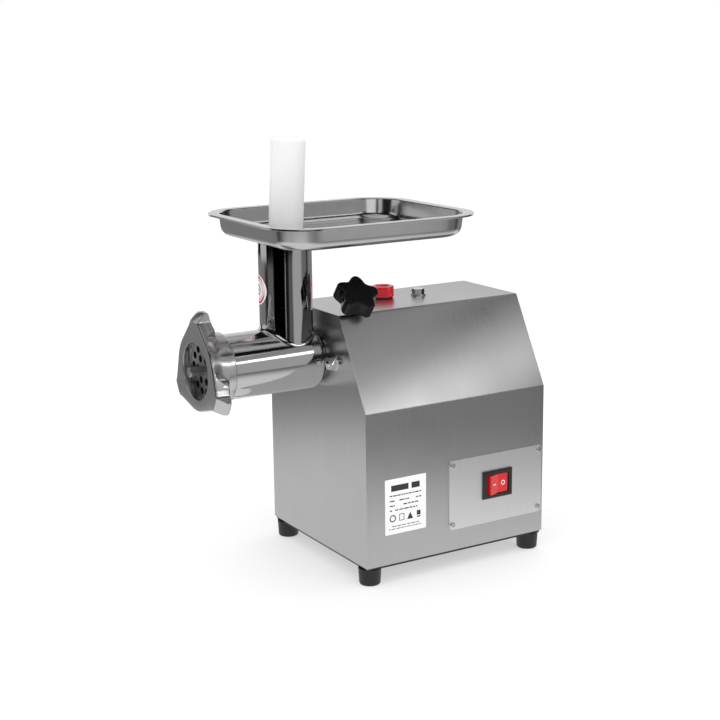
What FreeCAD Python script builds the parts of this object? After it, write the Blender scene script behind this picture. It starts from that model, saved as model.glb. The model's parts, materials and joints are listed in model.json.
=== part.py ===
import FreeCAD, Part
import math
import os

# Electric meat grinder with a plate of 70 mm. Millimetres, +Z up.
# The origin is on the table, in the middle of the machine's footprint. The meat comes out
# towards -Y, the motor is towards +Y and the switch is on the +X side.

os.makedirs("parts", exist_ok=True)
V = FreeCAD.Vector

# ---- housing ---------------------------------------------------------------------------
SHEET = 1.5
BEND = 3.0
HOUSING_WIDTH = 220.0
HOUSING_TOP_WIDTH = 110.0
HOUSING_FRONT = -51.0
HOUSING_REAR = 193.0
SHEET_BOTTOM = 22.5
SHOULDER_Z = 200.5
HOUSING_TOP = 301.5
PANEL_GAP = 0.3
FLANGE_DEPTH = 12.0
BASE_THICKNESS = 3.0
BASE_INSET = 1.8
FOOT_X = 96.5
FOOT_FROM_END = 11.5
FOOT_RADIUS = 13.2

# ---- gear train ------------------------------------------------------------------------
MODULE_1 = 1.5
MOTOR_TEETH = 20
LAY_GEAR_TEETH = 60
MODULE_2 = 2.0
LAY_PINION_TEETH = 18
OUTPUT_TEETH = 44
PRESSURE_ANGLE = 20.0
BACKLASH = 0.16

AXIS_Z = 247.5
LAY_Z = AXIS_Z - MODULE_2 * (LAY_PINION_TEETH + OUTPUT_TEETH) / 2.0
MOTOR_Z = LAY_Z - MODULE_1 * (MOTOR_TEETH + LAY_GEAR_TEETH) / 2.0

RUNNING_FIT = 0.05
FREE_GAP = 0.3

# ---- grinding head ---------------------------------------------------------------------
BARREL_RADIUS = 36.6
BARREL_BORE = 31.0
BARREL_FRONT = -187.0
BARREL_REAR = -55.0
BARREL_WALL_Y = -62.0
NECK_RADIUS = 26.0
NECK_REAR = -15.0
JOURNAL_RADIUS = 14.93
TUBE_Y = -87.0
TUBE_RADIUS = 30.0
TUBE_BORE = 26.0
PLATE_RADIUS = 34.8
PLATE_FRONT = -191.0
PLATE_BACK = -183.0
STUD_RADIUS = 5.5
STUD_TIP = -208.5
NUT_FRONT = -201.0
NUT_REAR = -169.0
NUT_OPENING = 32.0
NUT_BORE = BARREL_RADIUS + 0.35
NUT_BAND = 40.0
NUT_RIM = 45.0
LUG_TIP = 66.0

# ---- tray and plunger ------------------------------------------------------------------
TRAY_Y = -15.0
TRAY_WIDTH = 226.0
TRAY_LENGTH = 262.0
TRAY_CORNER = 54.0
TRAY_RIM_Z = 408.2
TRAY_FLOOR_Z = 382.5
TRAY_RIM = 12.0
TRAY_TAPER = 3.0
TRAY_SHEET = 1.0
SPIGOT_RADIUS = 25.7
PLUNGER_RADIUS = 19.25
PLUNGER_BOTTOM = 278.6
PLUNGER_TOP = 496.5
PLUNGER_LEAN = 3.25
PLUNGER_RIM_Z = 408.2
PLUNGER_RIM_OFFSET = 2.8

# ---- clamp knob, top fittings ----------------------------------------------------------
CLAMP_Y = -29.0
CLAMP_ANGLE = 38.0
CLAMP_SCREW_RADIUS = 6.0
KNOB_NEAR = 83.0
KNOB_THICKNESS = 19.0
KNOB_RADIUS = 21.5
KNOB_LOBE = 3.6
PLUG_X = -12.0
PLUG_Y = 48.0
TOP_BOLT_X = -5.0
TOP_BOLT_Y = 93.0

# ---- switch side -----------------------------------------------------------------------
PLATE_Y0 = 58.5
PLATE_Y1 = 190.0
PLATE_Z0 = 47.5
PLATE_Z1 = 130.0
SWITCH_Y = 125.5
SWITCH_Z = 93.0
BEZEL_LENGTH = 41.0
BEZEL_HEIGHT = 33.0
BEZEL_PROUD = 3.0
ROCKER_LENGTH = 29.5
ROCKER_HEIGHT = 23.0
ROCKER_REST = 10.0
LABEL_Y0 = -27.0
LABEL_Y1 = 27.5
LABEL_Z0 = 57.5
LABEL_Z1 = 122.0

# ---- places along the drive (Y) --------------------------------------------------------
CASE_FRONT = -15.0
CAVITY_FRONT = 4.0
CASE_REAR = 65.0
COVER_REAR = 73.0
STAGE2_Y0 = 6.0
STAGE2_Y1 = 28.0
CARRIER_Y0 = 30.0
CARRIER_Y1 = 42.0
STAGE1_Y0 = 45.0
STAGE1_Y1 = 59.0
STATOR_Y0 = 95.0
STATOR_Y1 = 150.0
MOTOR_REAR = 172.0
FAN_Y0 = 174.0
FAN_Y1 = 188.0
STATOR_RADIUS = 65.0
ROTOR_RADIUS = 32.4
BELL_RADIUS = 67.0

# ---- rear panel and bolts ----------------------------------------------------------------
FLANGE_BOLT_X = (-47.5, 47.5)
GLAND_X = -70.0
GLAND_Z = 52.0
GLAND_BORE = 4.25
VENT_COLUMNS = (-34.0, 34.0)
VENT_ROWS = 9
VENT_PITCH = 11.0
VENT_Z = 82.0
VENT_LENGTH = 52.0
VENT_HEIGHT = 4.5

# ---- gearbox -----------------------------------------------------------------------------
CASE_OUTSIDE = [(AXIS_Z, 52.0), (LAY_Z, 52.0), (MOTOR_Z, 32.0)]
CASE_INSIDE = [(AXIS_Z, 48.0), (LAY_Z, 48.0), (MOTOR_Z, 28.0)]
NOSE_RADIUS = 36.0
FLANGE_THICKNESS = 8.0
SEAL_Y0 = -14.4
BEARING_Y0 = -10.0
OUTPUT_BEARING_RADIUS = 31.0
OUTPUT_SHAFT_RADIUS = 17.5
REAR_JOURNAL_RADIUS = 15.0
REAR_BEARING_RADIUS = 27.5
LAY_BEARING_RADIUS = 17.5
LAY_SHAFT_RADIUS = 8.5
LAY_BEARING_FRONT = -6.0
LAY_BEARING_REAR = 60.5
LAY_BEARING_WIDTH = 10.0
MOTOR_SHAFT_RADIUS = 7.5
MOTOR_SEAL_RADIUS = 14.0
COVER_SCREWS = [(-30, 291), (30, 291), (-56, 240), (56, 240), (-56, 192), (56, 192)]
MOTOR_FLANGE_SCREWS = [(-18, -18), (18, -18), (-18, 18), (18, 18)]

# ---- motor -------------------------------------------------------------------------------
STATOR_SLOTS = 24
WINDING_INNER = 36.5
WINDING_OUTER = 59.0
TIE_RADIUS = 71.5
TIE_BOLT = 2.4

# ---- electrical parts --------------------------------------------------------------------
CAP_X = -83.0
CAP_Z = 56.0
CAP_RADIUS = 19.0
CAP_Y0 = 95.0
CAP_Y1 = 165.0
WIRE_RADIUS = 1.4
TERMINALS = [(-10, -6), (-10, 6), (6, -6), (6, 6)]
SWITCH_X_BACK = 88.0
ROCKER_PIVOT_X = 108.0
TRUNNION_RADIUS = 1.6
TRUNNION_LENGTH = 1.3

# ---- plate pin, worm ---------------------------------------------------------------------
PIN_OFFSET = -33.4
PIN_RADIUS = 1.5
PIN_Y0 = -186.0
PIN_Y1 = -176.0
FLIGHT_PITCH = 36.0
FLIGHT_START = -170.0
FLIGHT_END = -67.0
FLIGHT_RADIUS = 29.6
WASHER_Y0 = -64.6
WASHER_Y1 = -62.4


# ---- helpers ---------------------------------------------------------------------------
def box(x0, x1, y0, y1, z0, z1):
    return Part.makeBox(x1 - x0, y1 - y0, z1 - z0, V(x0, y0, z0))


def rod(start, direction, radius, length):
    return Part.makeCylinder(radius, length, start, direction)


def rod_x(y, z, radius, x0, x1):
    return Part.makeCylinder(radius, x1 - x0, V(x0, y, z), V(1, 0, 0))


def rod_y(x, z, radius, y0, y1):
    return Part.makeCylinder(radius, y1 - y0, V(x, y0, z), V(0, 1, 0))


def rod_z(x, y, radius, z0, z1):
    return Part.makeCylinder(radius, z1 - z0, V(x, y, z0), V(0, 0, 1))


def ring_y(x, z, outer, inner, y0, y1):
    return rod_y(x, z, outer, y0, y1).cut(rod_y(x, z, inner, y0 - 1, y1 + 1))


def join(first, *others):
    return first.multiFuse(list(others)).removeSplitter()


def cut_all(shape, *tools):
    for tool in tools:
        shape = shape.cut(tool)
    return shape


def face_of(points):
    return Part.Face(Part.makePolygon(points + [points[0]]))


def prism_y(outline_xz, y0, y1):
    face = face_of([V(x, y0, z) for x, z in outline_xz])
    return face.extrude(V(0, y1 - y0, 0))


def prism_x(outline_yz, x0, x1):
    face = face_of([V(x0, y, z) for y, z in outline_yz])
    return face.extrude(V(x1 - x0, 0, 0))


def lathe_y(outline_ry, x, z):
    face = face_of([V(x + r, y, z) for r, y in outline_ry])
    return face.revolve(V(x, 0, z), V(0, 1, 0), 360)


def lathe_z(outline_rz, x, y):
    face = face_of([V(x + r, y, z) for r, z in outline_rz])
    return face.revolve(V(x, y, 0), V(0, 0, 1), 360)


def hexagon(across_flats):
    corner = across_flats / math.sqrt(3)
    return [
        (corner * math.cos(math.radians(60 * k)), corner * math.sin(math.radians(60 * k)))
        for k in range(6)
    ]


def hex_y(x, z, across_flats, y0, y1):
    return prism_y([(x + a, z + b) for a, b in hexagon(across_flats)], y0, y1)


def hex_z(x, y, across_flats, z0, z1):
    points = [V(x + a, y + b, z0) for a, b in hexagon(across_flats)]
    return face_of(points).extrude(V(0, 0, z1 - z0))


def along_y(edge):
    return edge.BoundBox.XLength < 0.01 and edge.BoundBox.ZLength < 0.01


def rounded_rectangle(x_mid, y_mid, width, length, corner, z):
    x0, x1 = x_mid - width / 2.0, x_mid + width / 2.0
    y0, y1 = y_mid - length / 2.0, y_mid + length / 2.0
    d = corner * (1 - math.sqrt(0.5))
    parts = [
        Part.LineSegment(V(x0 + corner, y0, z), V(x1 - corner, y0, z)),
        Part.Arc(V(x1 - corner, y0, z), V(x1 - d, y0 + d, z), V(x1, y0 + corner, z)),
        Part.LineSegment(V(x1, y0 + corner, z), V(x1, y1 - corner, z)),
        Part.Arc(V(x1, y1 - corner, z), V(x1 - d, y1 - d, z), V(x1 - corner, y1, z)),
        Part.LineSegment(V(x1 - corner, y1, z), V(x0 + corner, y1, z)),
        Part.Arc(V(x0 + corner, y1, z), V(x0 + d, y1 - d, z), V(x0, y1 - corner, z)),
        Part.LineSegment(V(x0, y1 - corner, z), V(x0, y0 + corner, z)),
        Part.Arc(V(x0, y0 + corner, z), V(x0 + d, y0 + d, z), V(x0 + corner, y0, z)),
    ]
    return Part.Wire([p.toShape() for p in parts])


def rounded_plate_x(x0, x1, y0, y1, z0, z1, corner):
    plate = box(x0, x1, y0, y1, z0, z1)
    through = [e for e in plate.Edges if abs(e.BoundBox.XLength - (x1 - x0)) < 0.01]
    return plate.makeFillet(corner, through)


def pan_head_screw(seat, outward, head_radius, head_height, shank_radius, shank_length):
    """A cross-recessed screw whose head stands on seat, its dome pointing outward."""
    head = rod_z(0, 0, head_radius, 0, head_height)
    rim = [e for e in head.Edges if e.BoundBox.ZMin > head_height - 0.01]
    head = head.makeFillet(head_height * 0.55, rim)
    screw = join(head, rod_z(0, 0, shank_radius, -shank_length, 0))
    arm = head_radius * 0.55
    half = 0.45
    low = head_height * 0.5
    high = head_height + 1
    screw = cut_all(
        screw, box(-arm, arm, -half, half, low, high), box(-half, half, -arm, arm, low, high)
    )
    screw.Placement = FreeCAD.Placement(seat, FreeCAD.Rotation(V(0, 0, 1), outward))
    return screw


def belt(circles, y0, y1):
    """The outline that a tight belt makes round circles given as (height, radius), top first."""
    solid = rod_y(0, circles[0][0], circles[0][1], y0, y1)
    for (z_a, r_a), (z_b, r_b) in zip(circles, circles[1:]):
        rise = (r_a - r_b) / (z_a - z_b)
        side = math.sqrt(1 - rise * rise)
        web = prism_y(
            [
                (r_a * side, z_a + r_a * rise),
                (-r_a * side, z_a + r_a * rise),
                (-r_b * side, z_b + r_b * rise),
                (r_b * side, z_b + r_b * rise),
            ],
            y0,
            y1,
        )
        solid = solid.fuse(web).fuse(rod_y(0, z_b, r_b, y0, y1))
    return solid.removeSplitter()


def involute(angle):
    return math.tan(angle) - angle


def gear(module, teeth, z, y0, y1, bore, tooth_up):
    """A spur gear on the axis (0, z). A tooth, or else a gap, points straight up."""
    pitch_radius = module * teeth / 2.0
    base_radius = pitch_radius * math.cos(math.radians(PRESSURE_ANGLE))
    root = pitch_radius - 1.25 * module
    tip = pitch_radius + module
    half_at_pitch = math.pi / (2 * teeth) - BACKLASH / (4 * pitch_radius)
    at_pitch = involute(math.radians(PRESSURE_ANGLE))

    def half_angle(radius):
        pressure = math.acos(base_radius / max(radius, base_radius))
        return half_at_pitch + at_pitch - involute(pressure)

    flank = [root, pitch_radius, pitch_radius + 0.55 * module, tip]
    start = math.pi / 2 + (0 if tooth_up else math.pi / teeth)
    outline = []
    for tooth in range(teeth):
        middle = start + 2 * math.pi * tooth / teeth
        rising = [(radius, middle - half_angle(radius)) for radius in flank]
        falling = [(radius, middle + half_angle(radius)) for radius in reversed(flank)]
        for radius, angle in rising + falling:
            outline.append((radius * math.cos(angle), z + radius * math.sin(angle)))
    blank = prism_y(outline, y0, y1)
    return blank.cut(rod_y(0, z, bore, y0 - 1, y1 + 1)) if bore else blank


def ball_bearing(x, z, outer, bore, y0, y1):
    """A sealed bearing: one ring with a groove round each face between its races."""
    ring = ring_y(x, z, outer, bore, y0, y1)
    inner_race = bore + 0.28 * (outer - bore)
    outer_race = outer - 0.22 * (outer - bore)
    depth = 0.6
    front = ring_y(x, z, outer_race, inner_race, y0 - 1, y0 + depth)
    back = ring_y(x, z, outer_race, inner_race, y1 - depth, y1 + 1)
    return cut_all(ring, front, back)


def save(node, *solids):
    found = []
    for solid in solids:
        found.extend(solid.Solids)
    shape = found[0] if len(found) == 1 else Part.makeCompound(found)
    state = "ok" if found and all(s.isValid() and s.Volume > 0 for s in found) else "BAD"
    print("%-24s %2d solid(s) %10.1f mm3 %s" % (node, len(found), shape.Volume, state))
    shape.exportStep("parts/%s.step" % node)


# ---- housing ---------------------------------------------------------------------------
def housing_outline(inset):
    """Half widths and heights of the housing's section, drawn in by inset but for its foot."""
    half = HOUSING_WIDTH / 2.0 - inset
    slope = (HOUSING_WIDTH - HOUSING_TOP_WIDTH) / 2.0 / (HOUSING_TOP - SHOULDER_Z)
    across = inset / math.cos(math.atan(slope))
    shoulder = SHOULDER_Z - (across - inset) / slope
    top = HOUSING_TOP - inset
    top_half = HOUSING_WIDTH / 2.0 - across - slope * (top - SHOULDER_Z)
    return half, shoulder, top, top_half


def housing_block(inset, y0, y1, bottom, bend):
    half, shoulder, top, top_half = housing_outline(inset)
    outline = [
        (-half, bottom),
        (half, bottom),
        (half, shoulder),
        (top_half, top),
        (-top_half, top),
        (-half, shoulder),
    ]
    block = prism_y(outline, y0, y1)
    bends = [e for e in block.Edges if along_y(e) and e.BoundBox.ZMin > bottom + 1]
    return block.makeFillet(bend, bends)


def clamp_direction():
    angle = math.radians(CLAMP_ANGLE)
    return V(math.sin(angle), 0, math.cos(angle))


def clamp_point(distance):
    return V(0, CLAMP_Y, AXIS_Z) + clamp_direction() * distance


def panel_screw_places():
    places = []
    for x in (-101.0, 101.0):
        for z in (60.0, 180.0):
            places.append((x, z))
    return places


def housing_wrap():
    front = HOUSING_FRONT + SHEET
    rear = HOUSING_REAR - SHEET
    outside = housing_block(0, front, rear, SHEET_BOTTOM, BEND)
    inside = housing_block(SHEET, front - 1, rear + 1, SHEET_BOTTOM - 1, BEND - SHEET)
    wrap = outside.cut(inside)
    inner = HOUSING_WIDTH / 2.0 - SHEET
    for x, z in panel_screw_places():
        side = 1 if x > 0 else -1
        low, high = sorted((side * (inner - 14.0), side * (inner + 0.5)))
        tab = box(low, high, rear - SHEET, rear, z - 8, z + 8)
        wrap = wrap.fuse(tab)
        wrap = wrap.cut(rod_y(x, z, 2.0, rear - 5, rear + 1))
    switch_window = box(inner - 1, inner + 3, 103, 148, 72, 114)
    knob_hole = rod(clamp_point(55), clamp_direction(), 7.6, 30)
    plug_hole = rod_z(PLUG_X, PLUG_Y, 8.0, HOUSING_TOP - 5, HOUSING_TOP + 1)
    bolt_hole = rod_z(TOP_BOLT_X, TOP_BOLT_Y, 4.2, HOUSING_TOP - 5, HOUSING_TOP + 1)
    wrap = cut_all(wrap, switch_window, knob_hole, plug_hole, bolt_hole)
    for y, z in control_screw_places():
        wrap = wrap.cut(rod_x(y, z, 1.6, inner - 1, inner + 3))
    return wrap.removeSplitter()


def panel_flange(y0, y1):
    """The rim that is folded in from a panel's edge, just inside the wrap."""
    clear = SHEET + PANEL_GAP
    outside = housing_block(clear, y0, y1, SHEET_BOTTOM + 2, BEND - SHEET)
    inside = housing_block(clear + SHEET, y0 - 1, y1 + 1, SHEET_BOTTOM + 2 + SHEET, 1.0)
    return outside.cut(inside)


def front_panel():
    y0 = HOUSING_FRONT
    y1 = y0 + SHEET
    panel = housing_block(0, y0, y1, SHEET_BOTTOM, BEND)
    rim = panel_flange(y1, y1 + FLANGE_DEPTH)
    panel = panel.fuse(rim)
    panel = panel.cut(rod_y(0, AXIS_Z, NECK_RADIUS + 1.5, y0 - 1, y1 + 1))
    for x in FLANGE_BOLT_X:
        panel = panel.cut(rod_y(x, AXIS_Z, 4.3, y0 - 1, y1 + 1))
    return panel.removeSplitter()


def vent_slot(x, z, y0, y1):
    half = VENT_LENGTH / 2.0 - VENT_HEIGHT / 2.0
    r = VENT_HEIGHT / 2.0
    slot = box(x - half, x + half, y0, y1, z - r, z + r)
    return slot.fuse(rod_y(x - half, z, r, y0, y1)).fuse(rod_y(x + half, z, r, y0, y1))


def rear_panel():
    y1 = HOUSING_REAR
    y0 = y1 - SHEET
    panel = housing_block(0, y0, y1, SHEET_BOTTOM, BEND)
    for x in VENT_COLUMNS:
        for row in range(VENT_ROWS):
            panel = panel.cut(vent_slot(x, VENT_Z + row * VENT_PITCH, y0 - 1, y1 + 1))
    panel = panel.cut(rod_y(GLAND_X, GLAND_Z, 8.0, y0 - 1, y1 + 1))
    for x, z in panel_screw_places():
        panel = panel.cut(rod_y(x, z, 2.2, y0 - 1, y1 + 1))
    return panel


def control_screw_places():
    edge_y = 4.5
    edge_z = 6.0
    return [
        (y, z)
        for y in (PLATE_Y0 + edge_y, PLATE_Y1 - edge_y)
        for z in (PLATE_Z0 + edge_z, PLATE_Z1 - edge_z)
    ]


def panel_screws():
    screws = []
    for y, z in control_screw_places():
        seat = V(HOUSING_WIDTH / 2.0 + SHEET, y, z)
        screws.append(pan_head_screw(seat, V(1, 0, 0), 3.2, 2.0, 1.6, 6.0))
    for x, z in panel_screw_places():
        seat = V(x, HOUSING_REAR, z)
        screws.append(pan_head_screw(seat, V(0, 1, 0), 3.6, 2.2, 2.0, 7.0))
    return screws


def base_plate():
    x = HOUSING_WIDTH / 2.0 - BASE_INSET
    y0 = HOUSING_FRONT + BASE_INSET
    y1 = HOUSING_REAR - BASE_INSET
    z0 = SHEET_BOTTOM - BASE_THICKNESS
    plate = box(-x, x, y0, y1, z0, SHEET_BOTTOM)
    for x_foot, y_foot in foot_places():
        plate = plate.cut(rod_z(x_foot, y_foot, 2.6, z0 - 1, SHEET_BOTTOM + 1))
    rim_x = HOUSING_WIDTH / 2.0 - SHEET - 0.2
    low = y0 + 20
    high = y1 - 20
    for side in (-1, 1):
        inner, outer = sorted((side * (rim_x - SHEET), side * rim_x))
        plate = plate.fuse(box(inner, outer, low, high, SHEET_BOTTOM, SHEET_BOTTOM + 12))
    return plate.removeSplitter()


def foot_places():
    front = HOUSING_FRONT + FOOT_FROM_END
    rear = HOUSING_REAR - FOOT_FROM_END
    return [(FOOT_X, front), (-FOOT_X, front), (-FOOT_X, rear), (FOOT_X, rear)]


def rubber_foot(x, y):
    top = SHEET_BOTTOM - BASE_THICKNESS
    foot = lathe_z([(0, 0), (FOOT_RADIUS - 1.2, 0), (FOOT_RADIUS, top), (0, top)], x, y)
    low = [e for e in foot.Edges if e.BoundBox.ZMax < 0.01 and isinstance(e.Curve, Part.Circle)]
    foot = foot.makeFillet(2.2, low)
    foot = foot.cut(rod_z(x, y, 6.0, -1, 8.0))
    return foot.cut(rod_z(x, y, 2.5, 7.0, top + 1))


def foot_screw(x, y):
    return join(rod_z(x, y, 4.6, 5.0, 8.0), rod_z(x, y, 2.5, 8.0, SHEET_BOTTOM + 1.5))


# ---- gearbox ---------------------------------------------------------------------------
def gearbox_case():
    flange_y1 = HOUSING_FRONT + SHEET + FLANGE_THICKNESS
    nose_y0 = HOUSING_FRONT + SHEET
    case = belt(CASE_OUTSIDE, CASE_FRONT, CASE_REAR)
    nose = rod_y(0, AXIS_Z, NOSE_RADIUS, nose_y0, CASE_FRONT)
    flange = box(-57, 57, nose_y0, flange_y1, AXIS_Z - 26, AXIS_Z + 26)
    clamp_boss = rod(clamp_point(30), clamp_direction(), 11, 20)
    plug_boss = rod_z(PLUG_X, PLUG_Y, 13, AXIS_Z + 40, HOUSING_TOP - SHEET)
    case = case.fuse(nose).fuse(flange).fuse(clamp_boss).fuse(plug_boss)
    for x, z in COVER_SCREWS:
        case = case.fuse(rod_y(x, z, 6, CASE_REAR - 14, CASE_REAR))
    for x in (-50, 50):
        inner, outer = sorted((x * 0.66, x * 1.08))
        case = case.fuse(box(inner, outer, flange_y1, CASE_FRONT, AXIS_Z - 4, AXIS_Z + 4))
    case = case.cut(belt(CASE_INSIDE, CAVITY_FRONT, CASE_REAR + 1))
    holes = [
        rod_y(0, AXIS_Z, NECK_RADIUS + RUNNING_FIT, nose_y0 - 1, SEAL_Y0),
        rod_y(0, AXIS_Z, 27.0, SEAL_Y0 - 0.01, BEARING_Y0),
        rod_y(0, AXIS_Z, OUTPUT_BEARING_RADIUS, BEARING_Y0, CAVITY_FRONT + 1),
        rod_y(0, LAY_Z, LAY_BEARING_RADIUS, LAY_BEARING_FRONT, CAVITY_FRONT + 1),
        rod(clamp_point(20), clamp_direction(), CLAMP_SCREW_RADIUS + 0.35, 40),
        rod_z(PLUG_X, PLUG_Y, 8.0, AXIS_Z + 30, HOUSING_TOP),
    ]
    for x in FLANGE_BOLT_X:
        holes.append(rod_y(x, AXIS_Z, 4.0, nose_y0 - 1, flange_y1 + 14))
    for x, z in COVER_SCREWS:
        holes.append(rod_y(x, z, 2.5, CASE_REAR - 12, CASE_REAR + 1))
    return cut_all(case, *holes)


def gearbox_cover():
    cover = belt(CASE_OUTSIDE, CASE_REAR, COVER_REAR)
    for x, z in COVER_SCREWS:
        cover = cover.fuse(rod_y(x, z, 6, CASE_REAR, COVER_REAR))
    cover = cover.fuse(rod_y(0, LAY_Z, LAY_BEARING_RADIUS + 4.5, LAY_BEARING_REAR, CASE_REAR))
    rear = LAY_BEARING_REAR + LAY_BEARING_WIDTH
    holes = [
        rod_y(0, LAY_Z, LAY_BEARING_RADIUS, LAY_BEARING_REAR - 1, rear),
        rod_y(0, MOTOR_Z, MOTOR_SEAL_RADIUS, CASE_REAR - 1, COVER_REAR + 1),
    ]
    for x, z in COVER_SCREWS:
        holes.append(rod_y(x, z, 2.5, CASE_REAR - 1, COVER_REAR + 1))
    for x, dz in MOTOR_FLANGE_SCREWS:
        holes.append(rod_y(x, MOTOR_Z + dz, 2.5, CASE_REAR + 1, COVER_REAR + 1))
    return cut_all(cover, *holes)


def gearbox_screws():
    screws = []
    places = [(x, z, COVER_REAR, 18.0) for x, z in COVER_SCREWS]
    for x, dz in MOTOR_FLANGE_SCREWS:
        places.append((x, MOTOR_Z + dz, COVER_REAR + 4, 11.0))
    for x, z, seat, length in places:
        head = rod_y(x, z, 4.2, seat, seat + 4.5)
        shank = rod_y(x, z, 2.5, seat - length, seat)
        screws.append(join(head, shank).cut(hex_y(x, z, 4.0, seat + 2, seat + 5)))
    return screws


def bearing_carrier():
    gap = 0.2
    inside = [(z, r - gap) for z, r in CASE_INSIDE[:2]]
    plate = belt(inside, CARRIER_Y0, CARRIER_Y1)
    bearing_seat = rod_y(0, AXIS_Z, REAR_BEARING_RADIUS, CARRIER_Y0 - 1, CARRIER_Y1 + 1)
    shaft_hole = rod_y(0, LAY_Z, LAY_SHAFT_RADIUS + 4, CARRIER_Y0 - 1, CARRIER_Y1 + 1)
    return cut_all(plate, bearing_seat, shaft_hole)


def flange_bolts():
    washer_face = HOUSING_FRONT - 2.2
    head_face = HOUSING_FRONT - 10.0
    bolts = []
    for x in FLANGE_BOLT_X:
        washer = rod_y(x, AXIS_Z, 9.5, washer_face, HOUSING_FRONT)
        head = hex_y(x, AXIS_Z, 14.0, head_face, washer_face)
        dome = lathe_y(
            [
                (0, head_face - 2.2),
                (2.6, head_face - 1.8),
                (3.8, head_face - 0.6),
                (4.0, head_face + 0.2),
                (0, head_face + 0.2),
            ],
            x,
            AXIS_Z,
        )
        shank = rod_y(x, AXIS_Z, 4.0, HOUSING_FRONT, HOUSING_FRONT + 18)
        bolts.append(join(washer, head, dome, shank))
    return bolts


def square_y(z, side, y0, y1):
    half = side / 2.0
    return box(-half, half, y0, y1, z - half, z + half)


def output_shaft():
    shaft = join(
        rod_y(0, AXIS_Z, OUTPUT_SHAFT_RADIUS, -13, CARRIER_Y0 - 1.5),
        rod_y(0, AXIS_Z, REAR_JOURNAL_RADIUS, CARRIER_Y0 - 1.5, CARRIER_Y1 + 1),
    )
    return shaft.cut(square_y(AXIS_Z, 14.8, -14, 6))


def layshaft():
    pinion = gear(MODULE_2, LAY_PINION_TEETH, LAY_Z, STAGE2_Y0 - 1, STAGE2_Y1 + 1, 0, True)
    rear = LAY_BEARING_REAR + LAY_BEARING_WIDTH - 0.5
    core = rod_y(0, LAY_Z, LAY_SHAFT_RADIUS, LAY_BEARING_FRONT + 0.5, rear)
    seat = rod_y(0, LAY_Z, 12.0, CARRIER_Y1, STAGE1_Y1)
    return join(pinion, core, seat)


def webbed_gear(blank, z, y0, y1, inner, outer, depth, hole_radius):
    front = ring_y(0, z, outer, inner, y0 - 1, y0 + depth)
    back = ring_y(0, z, outer, inner, y1 - depth, y1 + 1)
    blank = cut_all(blank, front, back)
    middle = (inner + outer) / 2.0
    for k in range(6):
        turn = math.radians(60 * k + 30)
        x = middle * math.cos(turn)
        dz = middle * math.sin(turn)
        blank = blank.cut(rod_y(x, z + dz, hole_radius, y0 - 1, y1 + 1))
    return blank


def output_gear():
    blank = gear(
        MODULE_2, OUTPUT_TEETH, AXIS_Z, STAGE2_Y0, STAGE2_Y1, OUTPUT_SHAFT_RADIUS, False
    )
    return webbed_gear(blank, AXIS_Z, STAGE2_Y0, STAGE2_Y1, 24, 37, 6, 4.5)


def layshaft_gear():
    blank = gear(MODULE_1, LAY_GEAR_TEETH, LAY_Z, STAGE1_Y0, STAGE1_Y1, 12.0, False)
    return webbed_gear(blank, LAY_Z, STAGE1_Y0, STAGE1_Y1, 18, 38, 4, 6.0)


# ---- motor -----------------------------------------------------------------------------
def tie_places():
    places = []
    for quarter in range(4):
        turn = math.radians(45 + 90 * quarter)
        places.append((TIE_RADIUS * math.cos(turn), MOTOR_Z + TIE_RADIUS * math.sin(turn)))
    return places


def motor_stator():
    stack = ring_y(0, MOTOR_Z, STATOR_RADIUS, ROTOR_RADIUS + 0.6, STATOR_Y0, STATOR_Y1)
    for slot in range(STATOR_SLOTS):
        turn = 360.0 * slot / STATOR_SLOTS
        pocket = box(-2.6, 2.6, STATOR_Y0 - 1, STATOR_Y1 + 1, 36.5, 50.0)
        mouth = box(-1.0, 1.0, STATOR_Y0 - 1, STATOR_Y1 + 1, 30.0, 37.0)
        cutter = pocket.fuse(mouth)
        cutter.translate(V(0, 0, MOTOR_Z))
        cutter.rotate(V(0, 0, MOTOR_Z), V(0, 1, 0), turn)
        stack = stack.cut(cutter)
    return stack


def motor_windings():
    coils = []
    for y0, y1 in ((STATOR_Y0 - 12, STATOR_Y0), (STATOR_Y1, STATOR_Y1 + 12)):
        coil = ring_y(0, MOTOR_Z, WINDING_OUTER, WINDING_INNER, y0, y1)
        coils.append(coil.makeFillet(4.0, outer_end_edges(coil, y0, y1)))
    return coils


def outer_end_edges(ring, y0, y1):
    free_end = y0 if y0 < STATOR_Y0 else y1
    return [
        e
        for e in ring.Edges
        if isinstance(e.Curve, Part.Circle) and abs(e.BoundBox.Center.y - free_end) < 0.01
    ]


def bell(wall_y0, wall_y1, rim_y0, rim_y1, boss_y0, boss_y1, pocket_y0, pocket_y1):
    cup = rod_y(0, MOTOR_Z, BELL_RADIUS, min(wall_y0, rim_y0), max(wall_y1, rim_y1))
    cup = cup.cut(rod_y(0, MOTOR_Z, BELL_RADIUS - 4, rim_y0 - 0.01, rim_y1 + 0.01))
    cup = cup.fuse(rod_y(0, MOTOR_Z, 21.5, boss_y0, boss_y1))
    for x, z in tie_places():
        cup = cup.fuse(rod_y(x, z, 6.0, min(wall_y0, rim_y0), max(wall_y1, rim_y1)))
    cup = cup.cut(rod_y(0, MOTOR_Z, LAY_BEARING_RADIUS, pocket_y0, pocket_y1))
    cup = cup.cut(rod_y(0, MOTOR_Z, 9.0, min(wall_y0, rim_y0) - 1, max(wall_y1, rim_y1) + 1))
    for x, z in tie_places():
        cup = cup.cut(rod_y(x, z, TIE_BOLT, wall_y0 - 40, wall_y1 + 40))
    return cup.removeSplitter()


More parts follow.
